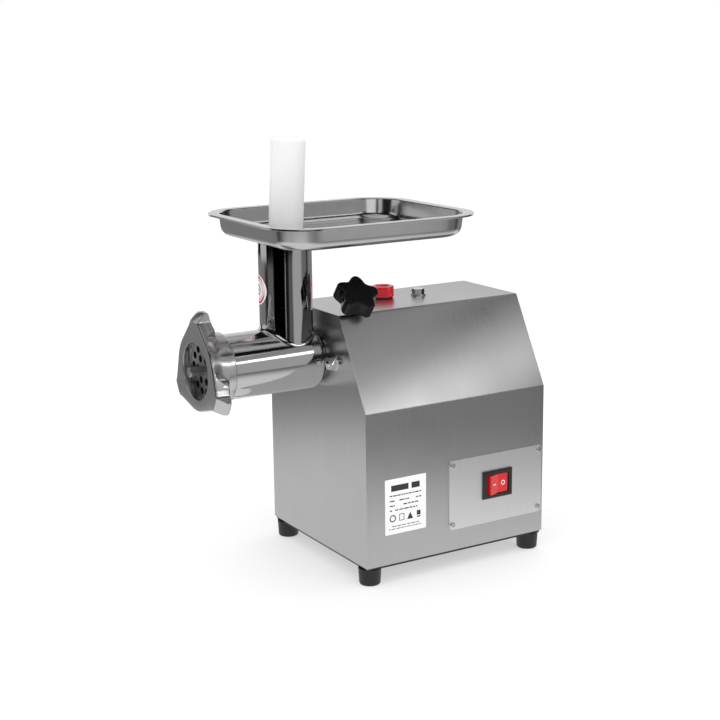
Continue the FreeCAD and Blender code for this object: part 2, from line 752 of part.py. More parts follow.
def motor_front_bell():
    y0 = COVER_REAR
    cup = bell(y0, y0 + 4, y0 + 4, STATOR_Y0, y0 + 3, y0 + 13, y0 + 2, y0 + 14)
    for x, dz in MOTOR_FLANGE_SCREWS:
        cup = cup.cut(rod_y(x, MOTOR_Z + dz, 2.7, y0 - 1, y0 + 4))
        cup = cup.cut(rod_y(x, MOTOR_Z + dz, 4.6, y0 + 4, y0 + 14))
    return cup


def motor_rear_bell():
    y1 = MOTOR_REAR
    cup = bell(y1 - 4, y1, STATOR_Y1, y1 - 4, y1 - 14, y1 - 3, y1 - 15, y1 - 2)
    for k in range(8):
        turn = math.radians(45 * k + 22.5)
        x = 42 * math.cos(turn)
        dz = 42 * math.sin(turn)
        cup = cup.cut(rod_y(x, MOTOR_Z + dz, 8.0, y1 - 10, y1 + 1))
    return cup


def motor_tie_bolts():
    bolts = []
    for x, z in tie_places():
        shank = rod_y(x, z, TIE_BOLT, COVER_REAR + 1, MOTOR_REAR)
        head = hex_y(x, z, 8.0, MOTOR_REAR, MOTOR_REAR + 3.5)
        bolts.append(join(shank, head))
    return bolts


def rotor_core():
    profile = [
        (9.0, STATOR_Y0 - 5),
        (29.0, STATOR_Y0 - 5),
        (29.0, STATOR_Y0),
        (ROTOR_RADIUS, STATOR_Y0),
        (ROTOR_RADIUS, STATOR_Y1),
        (29.0, STATOR_Y1),
        (29.0, STATOR_Y1 + 5),
        (9.0, STATOR_Y1 + 5),
    ]
    return lathe_y(profile, 0, MOTOR_Z)


def motor_shaft():
    pinion = gear(MODULE_1, MOTOR_TEETH, MOTOR_Z, STAGE1_Y0, STAGE1_Y1, 0, True)
    shaft = rod_y(0, MOTOR_Z, MOTOR_SHAFT_RADIUS, STAGE1_Y0 - 1, FAN_Y1 - 0.5)
    core = rod_y(0, MOTOR_Z, 9.0, COVER_REAR + 14, MOTOR_REAR - 15)
    return join(pinion, shaft, core)


def cooling_fan():
    hub = rod_y(0, MOTOR_Z, 13.0, FAN_Y0, FAN_Y1)
    disc = rod_y(0, MOTOR_Z, 52.0, FAN_Y0, FAN_Y0 + 2)
    fan = hub.fuse(disc)
    for k in range(9):
        blade = box(-1.0, 1.0, FAN_Y0 + 1, FAN_Y1, 11.0, 51.0)
        blade.translate(V(0, 0, MOTOR_Z))
        blade.rotate(V(0, 0, MOTOR_Z), V(0, 1, 0), 40.0 * k)
        fan = fan.fuse(blade)
    fan = fan.removeSplitter()
    return fan.cut(rod_y(0, MOTOR_Z, MOTOR_SHAFT_RADIUS, FAN_Y0 - 1, FAN_Y1 + 1))


def motor_support():
    """The bracket that carries the motor's rear bell on the base."""
    foot = box(-38, 38, 140, 166, SHEET_BOTTOM, SHEET_BOTTOM + 3)
    web = box(-34, 34, 152, 158, SHEET_BOTTOM + 3, MOTOR_Z - 30)
    saddle = rod_y(0, MOTOR_Z, BELL_RADIUS, 130, 180)
    return foot.fuse(web).cut(saddle).removeSplitter()


# ---- electrical ------------------------------------------------------------------------
def start_capacitor():
    can = rod_y(CAP_X, CAP_Z, CAP_RADIUS, CAP_Y0, CAP_Y1)
    rims = [e for e in can.Edges if isinstance(e.Curve, Part.Circle)]
    can = can.makeFillet(2.0, rims)
    for z in (CAP_Z - 6, CAP_Z + 6):
        can = can.fuse(box(CAP_X - 3, CAP_X + 3, CAP_Y0 - 8, CAP_Y0 + 1, z, z + 1))
    return can


def capacitor_clip():
    y0 = 122
    y1 = 138
    band = ring_y(CAP_X, CAP_Z, CAP_RADIUS + 1.5, CAP_RADIUS, y0, y1)
    foot = box(CAP_X - 16, CAP_X + 16, y0, y1, SHEET_BOTTOM, SHEET_BOTTOM + 2)
    post_top = CAP_Z - CAP_RADIUS - 0.4
    post = box(CAP_X - 4, CAP_X + 4, y0, y1, SHEET_BOTTOM, post_top)
    return join(band, foot, post)


def wire(points):
    """A lead along straight runs, rounded at each turn."""
    solid = None
    for start, end in zip(points, points[1:]):
        a = V(*start)
        b = V(*end)
        run = rod(a, b - a, WIRE_RADIUS, (b - a).Length)
        solid = run if solid is None else solid.fuse(run)
    for point in points[1:-1]:
        solid = solid.fuse(Part.makeSphere(WIRE_RADIUS, V(*point)))
    return solid


def wiring():
    back = SWITCH_X_BACK - 10.0
    low = SHEET_BOTTOM + 8
    y_near = SWITCH_Y - 10
    y_far = SWITCH_Y + 6
    gland_end = (GLAND_X, HOUSING_REAR - 14, GLAND_Z)
    leads = [
        [gland_end, (GLAND_X + 20, 178, low), (60, 178, low), (72, y_far, 70),
         (back, y_far, SWITCH_Z - 6)],
        [(back, y_near, SWITCH_Z - 6), (74, y_near, 60), (60, 84, 48), (40, 84, 64)],
        [(CAP_X, CAP_Y0 - 10, CAP_Z - 5.5), (CAP_X + 8, 80, 44), (-52, 84, 56), (-40, 84, 64)],
    ]
    return [wire(points) for points in leads]


def control_plate():
    x0 = HOUSING_WIDTH / 2.0
    plate = rounded_plate_x(x0, x0 + SHEET, PLATE_Y0, PLATE_Y1, PLATE_Z0, PLATE_Z1, 5.0)
    plate = plate.cut(switch_body_block(0.0, x0 - 1, x0 + 3))
    for y, z in control_screw_places():
        plate = plate.cut(rod_x(y, z, 1.6, x0 - 1, x0 + 3))
    return plate


def switch_body_block(extra, x0, x1):
    half_y = BEZEL_LENGTH / 2.0 - 3.0 + extra
    half_z = BEZEL_HEIGHT / 2.0 - 3.0 + extra
    return box(x0, x1, SWITCH_Y - half_y, SWITCH_Y + half_y, SWITCH_Z - half_z, SWITCH_Z + half_z)


def switch_housing():
    x0 = HOUSING_WIDTH / 2.0 + SHEET
    half_y = BEZEL_LENGTH / 2.0
    half_z = BEZEL_HEIGHT / 2.0
    bezel = box(
        x0, x0 + BEZEL_PROUD, SWITCH_Y - half_y, SWITCH_Y + half_y,
        SWITCH_Z - half_z, SWITCH_Z + half_z,
    )
    rim = [e for e in bezel.Edges if e.BoundBox.XMin > x0 + BEZEL_PROUD - 0.01]
    bezel = bezel.makeChamfer(1.2, rim)
    body = switch_body_block(0.0, SWITCH_X_BACK, x0)
    well_y = ROCKER_LENGTH / 2.0 + 0.6
    well_z = ROCKER_HEIGHT / 2.0 + 0.4
    well = box(
        98.5, x0 + BEZEL_PROUD + 1, SWITCH_Y - well_y, SWITCH_Y + well_y,
        SWITCH_Z - well_z, SWITCH_Z + well_z,
    )
    reach = ROCKER_HEIGHT / 2.0 + TRUNNION_LENGTH + 0.3
    hole_radius = TRUNNION_RADIUS + RUNNING_FIT
    pivot_holes = rod_z(ROCKER_PIVOT_X, SWITCH_Y, hole_radius, SWITCH_Z - reach, SWITCH_Z + reach)
    return cut_all(bezel.fuse(body), well, pivot_holes).removeSplitter()


def switch_terminals():
    return [
        box(
            SWITCH_X_BACK - 8, SWITCH_X_BACK, SWITCH_Y + dy, SWITCH_Y + dy + 0.8,
            SWITCH_Z + dz - 3, SWITCH_Z + dz + 3,
        )
        for dy, dz in TERMINALS
    ]


def switch_rocker():
    """The rocker with its far end pressed: a shallow V in plan, turned about its pivot."""
    half = ROCKER_LENGTH / 2.0
    drop = 2.2
    face = 7.0
    outline = [
        (-half + 0.85, face), (0, face - drop), (half - 0.85, face),
        (half, 0.5), (half - 4, -3.5), (-half + 4, -3.5), (-half, 0.5),
    ]
    z0 = SWITCH_Z - ROCKER_HEIGHT / 2.0
    z1 = SWITCH_Z + ROCKER_HEIGHT / 2.0
    points = [V(ROCKER_PIVOT_X + x, SWITCH_Y + y, z0) for y, x in outline]
    solid = face_of(points).extrude(V(0, 0, z1 - z0))
    pivot = V(ROCKER_PIVOT_X, SWITCH_Y, 0)
    solid.rotate(pivot, V(0, 0, 1), ROCKER_REST)
    trunnions = rod_z(
        ROCKER_PIVOT_X, SWITCH_Y, TRUNNION_RADIUS, z0 - TRUNNION_LENGTH, z1 + TRUNNION_LENGTH
    )
    return join(solid, trunnions)


def cable_gland():
    """The gland's body and dome nut, with the cord's hole right through them."""
    wall = HOUSING_REAR
    inner = rod_y(GLAND_X, GLAND_Z, 7.8, wall - SHEET - 10, wall)
    collar = hex_y(GLAND_X, GLAND_Z, 20.0, wall, wall + 5)
    neck = rod_y(GLAND_X, GLAND_Z, 8.9, wall + 5, wall + 8)
    dome = lathe_y(
        [(0, wall + 8), (9.4, wall + 8), (9.4, wall + 12), (7.2, wall + 15.5), (0, wall + 15.5)],
        GLAND_X,
        GLAND_Z,
    )
    gland = join(collar, neck, dome, inner)
    return gland.cut(rod_y(GLAND_X, GLAND_Z, GLAND_BORE, wall - SHEET - 11, wall + 17))


def rating_label():
    x0 = HOUSING_WIDTH / 2.0
    return rounded_plate_x(x0, x0 + 0.2, LABEL_Y0, LABEL_Y1, LABEL_Z0, LABEL_Z1, 1.0)


# ---- fittings on top -------------------------------------------------------------------
def top_bracket():
    """The angle bracket between the gearbox cover and the housing's top sheet."""
    top = HOUSING_TOP - SHEET
    upright = box(-18, 18, COVER_REAR, COVER_REAR + 4, AXIS_Z + 14, top)
    shelf = box(-18, 18, COVER_REAR, TOP_BOLT_Y + 16, top - 4, top)
    bracket = upright.fuse(shelf).removeSplitter()
    return bracket.cut(rod_z(TOP_BOLT_X, TOP_BOLT_Y, 4.0, top - 6, top + 1))


def top_bolt_and_washer():
    z = HOUSING_TOP
    washer = rod_z(TOP_BOLT_X, TOP_BOLT_Y, 9.2, z, z + 1.6)
    washer = washer.cut(rod_z(TOP_BOLT_X, TOP_BOLT_Y, 4.2, z - 1, z + 2))
    head = hex_z(TOP_BOLT_X, TOP_BOLT_Y, 13.0, z + 1.6, z + 7.4)
    shank = rod_z(TOP_BOLT_X, TOP_BOLT_Y, 4.0, z - 14, z + 1.6)
    return join(head, shank), washer


def oil_plug():
    z0 = HOUSING_TOP + 1.8
    cap = hex_z(PLUG_X, PLUG_Y, 23.5, z0, z0 + 12.5)
    cap = cap.common(rod_z(PLUG_X, PLUG_Y, 13.0, z0 - 1, z0 + 14))
    cap = cap.cut(rod_z(PLUG_X, PLUG_Y, 8.5, z0 + 8.5, z0 + 14))
    stem = rod_z(PLUG_X, PLUG_Y, 7.6, HOUSING_TOP - 6, z0)
    return join(cap, stem)


def oil_plug_seal():
    z = HOUSING_TOP
    seal = rod_z(PLUG_X, PLUG_Y, 12.0, z, z + 1.5)
    return seal.cut(rod_z(PLUG_X, PLUG_Y, 8.4, z - 1, z + 2))


def knob_outline(turn):
    """A star with five round lobes, as one smooth closed curve about the Z axis."""
    points = []
    steps = 60
    for k in range(steps):
        angle = 2 * math.pi * k / steps
        radius = KNOB_RADIUS + KNOB_LOBE * math.cos(5 * angle)
        points.append(V(radius * math.cos(angle + turn), radius * math.sin(angle + turn), 0))
    curve = Part.BSplineCurve()
    curve.interpolate(Points=points, PeriodicFlag=True)
    return Part.Wire([curve.toShape()])


def onto_clamp_axis(shape, distance):
    """Stands a shape that was drawn about the Z axis on the clamp screw's axis."""
    shape.rotate(V(0, 0, 0), V(0, 1, 0), CLAMP_ANGLE)
    shape.translate(clamp_point(distance))
    return shape


def clamp_knob():
    star = Part.Face(knob_outline(math.radians(18))).extrude(V(0, 0, KNOB_THICKNESS))
    rims = [e for e in star.Edges if e.BoundBox.ZLength < 0.01]
    star = star.makeFillet(2.4, rims)
    hub = rod_z(0, 0, 12.5, -5, 1)
    knob = star.fuse(hub)
    knob = knob.cut(rod_z(0, 0, CLAMP_SCREW_RADIUS, -6, KNOB_THICKNESS - 5))
    return onto_clamp_axis(knob, KNOB_NEAR)


def clamp_screw():
    start = 31.2
    shaft = rod_z(0, 0, CLAMP_SCREW_RADIUS, 0, KNOB_NEAR + KNOB_THICKNESS - 5 - start)
    return onto_clamp_axis(shaft, start)


def clamp_pad():
    start = NECK_RADIUS + 0.4
    return onto_clamp_axis(rod_z(0, 0, 5.4, 0, 30.8 - start), start)


# ---- grinding head ---------------------------------------------------------------------
def head_casting():
    tube_top = TRAY_FLOOR_Z - FREE_GAP
    barrel = rod_y(0, AXIS_Z, BARREL_RADIUS, BARREL_FRONT, BARREL_REAR)
    shoulder = [
        e
        for e in barrel.Edges
        if isinstance(e.Curve, Part.Circle) and abs(e.BoundBox.Center.y - BARREL_REAR) < 0.01
    ]
    barrel = barrel.makeFillet(8.0, shoulder)
    tube = rod_z(0, TUBE_Y, TUBE_RADIUS, AXIS_Z, tube_top)
    body = barrel.fuse(tube)
    seam = []
    for edge in body.Edges:
        bounds = edge.BoundBox
        curved = not isinstance(edge.Curve, (Part.Circle, Part.Line))
        if curved and bounds.ZMin > AXIS_Z + 5 and bounds.YLength > 5:
            seam.append(edge)
    body = body.makeFillet(7.0, seam)
    body = body.fuse(rod_y(0, AXIS_Z, NECK_RADIUS, BARREL_REAR - 9, NECK_REAR)).removeSplitter()
    holes = [
        rod_y(0, AXIS_Z, BARREL_BORE, BARREL_FRONT - 1, BARREL_WALL_Y),
        rod_y(0, AXIS_Z, PLATE_RADIUS + FREE_GAP, BARREL_FRONT - 1, PLATE_BACK + FREE_GAP),
        rod_z(0, TUBE_Y, TUBE_BORE, AXIS_Z, tube_top + 1),
        rod_y(0, AXIS_Z, JOURNAL_RADIUS + RUNNING_FIT, BARREL_WALL_Y - 1, NECK_REAR + 1),
        rod_y(0, AXIS_Z + PIN_OFFSET, PIN_RADIUS, PIN_Y0 - 3, PIN_Y1),
    ]
    return cut_all(body, *holes)


def plate_pin():
    return rod_y(0, AXIS_Z + PIN_OFFSET, PIN_RADIUS, PIN_Y0, PIN_Y1)


def mincing_plate():
    plate = rod_y(0, AXIS_Z, PLATE_RADIUS, PLATE_FRONT, PLATE_BACK)
    front = PLATE_FRONT - 1
    back = PLATE_BACK + 1
    plate = plate.cut(rod_y(0, AXIS_Z, STUD_RADIUS + RUNNING_FIT, front, back))
    for count, radius, start in ((6, 13.6, 0.0), (13, 24.6, 8.0)):
        for k in range(count):
            turn = math.radians(start + 360.0 * k / count)
            x = radius * math.cos(turn)
            z = AXIS_Z + radius * math.sin(turn)
            plate = plate.cut(rod_y(x, z, 4.2, front, back))
    notch_r = PIN_RADIUS + 0.4
    notch = rod_y(0, AXIS_Z + PIN_OFFSET, notch_r, front, back)
    mouth = box(-notch_r, notch_r, front, back, AXIS_Z - 40, AXIS_Z + PIN_OFFSET)
    return cut_all(plate, notch, mouth)


def tube_sticker():
    """A round label, bent round the feed tube."""
    turn = math.radians(17)
    sleeve = rod_z(0, TUBE_Y, TUBE_RADIUS + 0.2, 300, 360)
    sleeve = sleeve.cut(rod_z(0, TUBE_Y, TUBE_RADIUS, 299, 361))
    away = V(-math.sin(turn), -math.cos(turn), 0)
    punch = rod(V(0, TUBE_Y, 328.5) + away * 10, away, 17.0, 40)
    return sleeve.common(punch)


def worm_flight():
    """One helical flight, swept about the Z axis and laid along the barrel."""
    length = FLIGHT_END - FLIGHT_START
    helix = Part.makeHelix(FLIGHT_PITCH, length, FLIGHT_RADIUS)
    section = Part.makePolygon(
        [
            V(9.0, 0, -4.0),
            V(FLIGHT_RADIUS, 0, -1.5),
            V(FLIGHT_RADIUS, 0, 1.5),
            V(9.0, 0, 4.0),
            V(9.0, 0, -4.0),
        ]
    )
    flight = Part.Wire(helix.Edges).makePipeShell([section], True, True)
    flight.rotate(V(0, 0, 0), V(1, 0, 0), -90)
    flight.translate(V(0, FLIGHT_START, AXIS_Z))
    return flight


def worm():
    shoulder_y = WASHER_Y0
    core = lathe_y(
        [
            (0, -176),
            (11, -176),
            (11, -172),
            (17, shoulder_y - 4),
            (24, shoulder_y),
            (JOURNAL_RADIUS, shoulder_y),
            (JOURNAL_RADIUS, NECK_REAR),
            (0, NECK_REAR),
        ],
        0,
        AXIS_Z,
    )
    tang = square_y(AXIS_Z, 14.0, NECK_REAR - 1, 3.5)
    seat = square_y(AXIS_Z, 13.0, PLATE_BACK + 0.3, -175)
    stud = rod_y(0, AXIS_Z, STUD_RADIUS, STUD_TIP, -175)
    stud = stud.makeChamfer(0.9, [e for e in stud.Edges if e.BoundBox.YMax < STUD_TIP + 0.01])
    return core.fuse(worm_flight()).fuse(tang).fuse(seat).fuse(stud)


def worm_washer():
    return ring_y(0, AXIS_Z, 25.0, JOURNAL_RADIUS, WASHER_Y0, WASHER_Y1)


def knife():
    """Four blades with flat cutting faces towards the plate, on a hub with a square hole."""
    y0 = PLATE_BACK + FREE_GAP
    y1 = -176.0
    blank = rod_y(0, AXIS_Z, 12.5, y0, y1)
    for k in range(4):
        blade = prism_y([(-4.0, 6.0), (3.2, 6.0), (5.4, 29.4), (-2.0, 29.6)], y0, y1 - 0.6)
        blade.translate(V(0, 0, AXIS_Z))
        bevel = prism_x([(y0 + 2.0, 0), (y1 + 1, 0), (y1 + 1, 40), (y0 + 2.0, 40)], 2.0, 12.0)
        bevel.rotate(V(2.0, y0 + 2.0, 0), V(0, 0, 1), -35)
        bevel.translate(V(0, 0, AXIS_Z))
        blade = blade.cut(bevel)
        blade.rotate(V(0, 0, AXIS_Z), V(0, 1, 0), 90.0 * k + 20)
        blank = blank.fuse(blade)
    blank = blank.common(rod_y(0, AXIS_Z, 29.8, y0 - 1, y1 + 1)).removeSplitter()
    return blank.cut(square_y(AXIS_Z, 13.0, y0 - 1, y1 + 1))


# ---- ring nut --------------------------------------------------------------------------
def nut_lug_outline():
    """Half the lug's outline: a straight flank off the rim's 45 degree tangent, then its tip."""
    tangent = NUT_RIM / math.sqrt(2)
    right = [(tangent, tangent), (13.6, 50.0), (9.8, 54.0), (8.6, 57.5), (9.6, 70.0)]
    left = [(-x, z) for x, z in reversed(right)]
    return right + left + [(-12, 20), (12, 20)]


def ring_nut():
    body = lathe_y(
        [
            (NUT_BORE, NUT_REAR),
            (NUT_BAND - 0.8, NUT_REAR),
            (NUT_BAND, NUT_REAR - 0.8),
            (NUT_BAND, -184.0),
            (NUT_BAND + 0.8, -188.0),
            (NUT_RIM - 1.2, -195.5),
            (NUT_RIM, -197.5),
            (NUT_RIM, NUT_FRONT + 0.8),
            (NUT_RIM - 0.8, NUT_FRONT),
            (NUT_OPENING + 0.6, NUT_FRONT),
            (NUT_OPENING, NUT_FRONT + 0.6),
            (NUT_OPENING, PLATE_FRONT - FREE_GAP),
            (NUT_BORE, PLATE_FRONT - FREE_GAP),
        ],
        0,
        AXIS_Z,
    )
    envelope = lathe_y(
        [
            (38, NUT_FRONT),
            (55.5, NUT_FRONT),
            (LUG_TIP, NUT_FRONT + 10.5),
            (LUG_TIP - 0.8, NUT_FRONT + 14.5),
            (46.5, NUT_FRONT + 19.0),
            (38, NUT_FRONT + 22.0),
        ],
        0,
        AXIS_Z,
    )
    for k in range(3):
        blank = prism_y(nut_lug_outline(), NUT_FRONT - 1, NUT_REAR)
        blank.translate(V(0, 0, AXIS_Z))
        blank.rotate(V(0, 0, AXIS_Z), V(0, 1, 0), 120.0 * k)
        body = body.fuse(blank.common(envelope))
    return body.removeSplitter()


# ---- tray and plunger ------------------------------------------------------------------
def tray_block(drop, inset):
    """The pan as a solid block, drop mm under the outside's floor, inset mm inside its walls."""
    top_width = TRAY_WIDTH - 2 * TRAY_RIM - 2 * inset
    top_length = TRAY_LENGTH - 2 * TRAY_RIM - 2 * inset
    corner = TRAY_CORNER - TRAY_RIM - inset
    top_z = TRAY_RIM_Z + (5.0 if inset else 0.0)
    taper = TRAY_TAPER
    if inset:
        taper = TRAY_TAPER * (top_z - TRAY_FLOOR_Z) / (TRAY_RIM_Z - TRAY_FLOOR_Z)
        grow = taper - TRAY_TAPER
        top_width += 2 * grow
        top_length += 2 * grow
        corner += grow
    floor_z = TRAY_FLOOR_Z + drop
    top = rounded_rectangle(0, TRAY_Y, top_width, top_length, corner, top_z)
    low = rounded_rectangle(
        0, TRAY_Y, top_width - 2 * taper, top_length - 2 * taper, corner - taper, floor_z
    )
    block = Part.makeLoft([low, top], True, True)
    edges = [e for e in block.Edges if e.BoundBox.ZMax < floor_z + 0.01]
    return block.makeFillet(9.0 - inset, edges)


def feed_tray():
    outside = tray_block(0.0, 0.0)
    inside = tray_block(TRAY_SHEET, TRAY_SHEET)
    rim_wire = rounded_rectangle(0, TRAY_Y, TRAY_WIDTH, TRAY_LENGTH, TRAY_CORNER, TRAY_RIM_Z)
    rim = Part.Face(rim_wire).extrude(V(0, 0, -TRAY_SHEET))
    hem_wire = rounded_rectangle(
        0, TRAY_Y, TRAY_WIDTH - 2 * TRAY_SHEET, TRAY_LENGTH - 2 * TRAY_SHEET,
        TRAY_CORNER - TRAY_SHEET, TRAY_RIM_Z,
    )
    hem_out = Part.Face(rim_wire).extrude(V(0, 0, -2.2))
    hem = hem_out.cut(Part.Face(hem_wire).extrude(V(0, 0, -4)))
    tray = outside.fuse(rim).fuse(hem)
    tray = tray.fuse(rod_z(0, TUBE_Y, SPIGOT_RADIUS, TRAY_FLOOR_Z - 12, TRAY_FLOOR_Z + 1))
    tray = tray.cut(inside)
    bore = rod_z(0, TUBE_Y, SPIGOT_RADIUS - 0.9, TRAY_FLOOR_Z - 20, TRAY_FLOOR_Z + 5)
    return tray.cut(bore)


def plunger():
    length = PLUNGER_TOP - PLUNGER_BOTTOM
    stick = rod_z(0, 0, PLUNGER_RADIUS, 0, length)
    top = [e for e in stick.Edges if e.BoundBox.ZMin > length - 0.01]
    stick = stick.makeFillet(5.5, top)
    low = [e for e in stick.Edges if e.BoundBox.ZMax < 0.01]
    stick = stick.makeChamfer(1.0, low)
    lean = math.radians(PLUNGER_LEAN)
    offset = PLUNGER_RIM_OFFSET - (PLUNGER_RIM_Z - PLUNGER_BOTTOM) * math.tan(lean)
    stick.rotate(V(0, 0, 0), V(1, 0, 0), -PLUNGER_LEAN)
    stick.translate(V(0, TUBE_Y + offset, PLUNGER_BOTTOM))
    return stick


def build():
    save("housing_wrap", housing_wrap())
    save("front_panel", front_panel())
    save("rear_panel", rear_panel())
    save("panel_screws", *panel_screws())
    save("base_plate", base_plate())
    for number, (x, y) in enumerate(foot_places(), 1):
        save("rubber_foot_%d" % number, rubber_foot(x, y))
    save("foot_screws", *[foot_screw(x, y) for x, y in foot_places()])
    save("control_plate", control_plate())
    save("switch_housing", switch_housing())
    save("switch_terminals", *switch_terminals())
    save("switch_rocker", switch_rocker())
    save("rating_label", rating_label())
    save("cable_gland", cable_gland())
    save("gearbox_case", gearbox_case())
    save("gearbox_cover", gearbox_cover())
    save("gearbox_screws", *gearbox_screws())
    save("bearing_carrier", bearing_carrier())
    save("flange_bolts", *flange_bolts())
    save("output_shaft", output_shaft())
    save("output_gear", output_gear())
    save(
        "output_bearing_front",
        ball_bearing(0, AXIS_Z, 31.0, OUTPUT_SHAFT_RADIUS + RUNNING_FIT, BEARING_Y0, 4.0),
    )
    save(
        "output_bearing_rear",
        ball_bearing(
            0, AXIS_Z, REAR_BEARING_RADIUS, REAR_JOURNAL_RADIUS + RUNNING_FIT,
            CARRIER_Y0, CARRIER_Y1,
        ),
    )
    save(
        "output_oil_seal",
        ring_y(0, AXIS_Z, 27.0, OUTPUT_SHAFT_RADIUS + RUNNING_FIT, SEAL_Y0, BEARING_Y0),
    )
    save("layshaft", layshaft())
    save("layshaft_gear", layshaft_gear())
    lay_bearings = []
    for y0 in (LAY_BEARING_FRONT, LAY_BEARING_REAR):
        bore = LAY_SHAFT_RADIUS + RUNNING_FIT
        y1 = y0 + LAY_BEARING_WIDTH
        lay_bearings.append(ball_bearing(0, LAY_Z, LAY_BEARING_RADIUS, bore, y0, y1))
    save("layshaft_bearings", *lay_bearings)
    save("motor_stator", motor_stator())
    save("motor_windings", *motor_windings())
    save("motor_front_bell", motor_front_bell())
    save("motor_rear_bell", motor_rear_bell())
    save("motor_tie_bolts", *motor_tie_bolts())
    save("rotor_core", rotor_core())
    save("motor_shaft", motor_shaft())
    save("cooling_fan", cooling_fan())
    motor_bearings = []
    for y0 in (COVER_REAR + 2, MOTOR_REAR - 13):
        bore = MOTOR_SHAFT_RADIUS + RUNNING_FIT
        motor_bearings.append(ball_bearing(0, MOTOR_Z, 17.5, bore, y0, y0 + 11))
    save("motor_bearings", *motor_bearings)
    save(
        "motor_oil_seal",
        ring_y(0, MOTOR_Z, MOTOR_SEAL_RADIUS, MOTOR_SHAFT_RADIUS + RUNNING_FIT, 66, 72),
    )
    save("motor_support", motor_support())
    save("start_capacitor", start_capacitor())
    save("capacitor_clip", capacitor_clip())
    save("wiring", *wiring())
    save("top_bracket", top_bracket())
    save("top_bolt_and_washer", *top_bolt_and_washer())
    save("oil_plug", oil_plug())
    save("oil_plug_seal", oil_plug_seal())
    save("clamp_knob", clamp_knob())
    save("clamp_screw", clamp_screw())
    save("clamp_pad", clamp_pad())
    save("head_casting", head_casting())
    save("plate_pin", plate_pin())
    save("tube_sticker", tube_sticker())
    save("worm", worm())
    save("worm_washer", worm_washer())
    save("knife", knife())
    save("mincing_plate", mincing_plate())
    save("ring_nut", ring_nut())
    save("feed_tray", feed_tray())
    save("plunger", plunger())


build()
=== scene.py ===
import json
import math
import random

import bmesh
import bpy
from mathutils import Matrix, Vector

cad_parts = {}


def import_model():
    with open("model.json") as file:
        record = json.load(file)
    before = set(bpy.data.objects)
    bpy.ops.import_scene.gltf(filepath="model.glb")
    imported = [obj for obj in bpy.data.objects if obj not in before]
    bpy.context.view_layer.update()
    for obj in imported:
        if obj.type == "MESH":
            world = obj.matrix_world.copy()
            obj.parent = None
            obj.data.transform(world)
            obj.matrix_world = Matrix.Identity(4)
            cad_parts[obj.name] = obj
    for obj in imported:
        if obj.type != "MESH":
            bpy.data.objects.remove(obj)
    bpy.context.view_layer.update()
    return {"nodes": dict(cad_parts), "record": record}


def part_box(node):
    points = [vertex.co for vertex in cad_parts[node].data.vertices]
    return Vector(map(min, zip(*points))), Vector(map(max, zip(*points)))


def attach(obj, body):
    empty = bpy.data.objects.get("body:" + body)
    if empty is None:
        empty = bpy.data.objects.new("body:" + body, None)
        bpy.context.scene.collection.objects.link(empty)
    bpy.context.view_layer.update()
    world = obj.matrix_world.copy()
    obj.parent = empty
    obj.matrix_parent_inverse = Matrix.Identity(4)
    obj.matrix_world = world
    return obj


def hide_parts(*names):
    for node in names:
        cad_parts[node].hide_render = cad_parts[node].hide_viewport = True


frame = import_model()
nodes = frame["nodes"]
random.seed(7)

MM = 0.001
TAU = 2 * math.pi

# Sizes in millimetres that the redrawn pieces and marks follow.
TUBE_Y = -87.0  # the feed tube's axis
TUBE_RADIUS = 30.0
TRAY_DEPTH = 25.7  # from the tray's rim down to the underside of its floor
TRAY_CORNER = 54.0
TRAY_HOLE_AHEAD = 72.0  # how far the tray's hole is in front of its middle
SPIGOT_RADIUS = 25.7
SHEET = 1.0
NUT_OPENING = 32.0  # radius of the nut's front opening
NUT_THREAD = 36.95
NUT_BAND = 40.0
NUT_RIM = 45.0  # radius of the nut's flange between its lugs
LUG_TIP = 55.5  # past this radius the face of a lug slopes back
ROCKER_PIVOT = (108.0, 125.5, 93.0)
ROCKER_TILT = 10.0  # degrees, at rest

# The camera that was fitted to the photograph.
CAMERA_LENS = 72.75
CAMERA_PLACE = (1416.9, -839.6, 613.0)
CAMERA_ANGLES = (59.09, 12.94, -0.69)  # azimuth, elevation and roll, in degrees


# ---- small helpers for meshes ------------------------------------------------------------
def mesh_object(name, points, faces, material, body, replaced=(), sharp=40.0):
    """A smooth-shaded piece from points in millimetres, riding on a CAD body."""
    mesh = bpy.data.meshes.new(name)
    mesh.from_pydata([[c * MM for c in p] for p in points], [], faces)
    mesh.validate()
    clean = bmesh.new()
    clean.from_mesh(mesh)
    bmesh.ops.recalc_face_normals(clean, faces=clean.faces)
    clean.to_mesh(mesh)
    clean.free()
    mesh.shade_smooth()
    mesh.set_sharp_from_angle(angle=math.radians(sharp))
    piece = bpy.data.objects.new(name, mesh)
    bpy.context.scene.collection.objects.link(piece)
    mesh.materials.append(material)
    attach(piece, body)
    if replaced:
        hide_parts(*replaced)
    return piece


def box_mm(node):
    """The low and high corners of a CAD node's box, in millimetres."""
    low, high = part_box(node)
    return [c / MM for c in low], [c / MM for c in high]


def rounded_path(corners, segments=6):
    """Points of an open path whose corners, given as (a, b, radius), are rounded."""
    path = []
    for i, (a, b, radius) in enumerate(corners):
        here = Vector((a, b))
        if i in (0, len(corners) - 1) or radius <= 0:
            path.append((a, b))
            continue
        back = (Vector(corners[i - 1][:2]) - here).normalized()
        ahead = (Vector(corners[i + 1][:2]) - here).normalized()
        half = back.angle(ahead) / 2
        reach = radius / math.tan(half)
        centre = here + (back + ahead).normalized() * (radius / math.sin(half))
        start = here + back * reach - centre
        end = here + ahead * reach - centre
        sweep = start.angle_signed(end)
        for k in range(segments + 1):
            turn = -sweep * k / segments
            spoke = Matrix.Rotation(turn, 2) @ start
            path.append(tuple(centre + spoke))
    return path


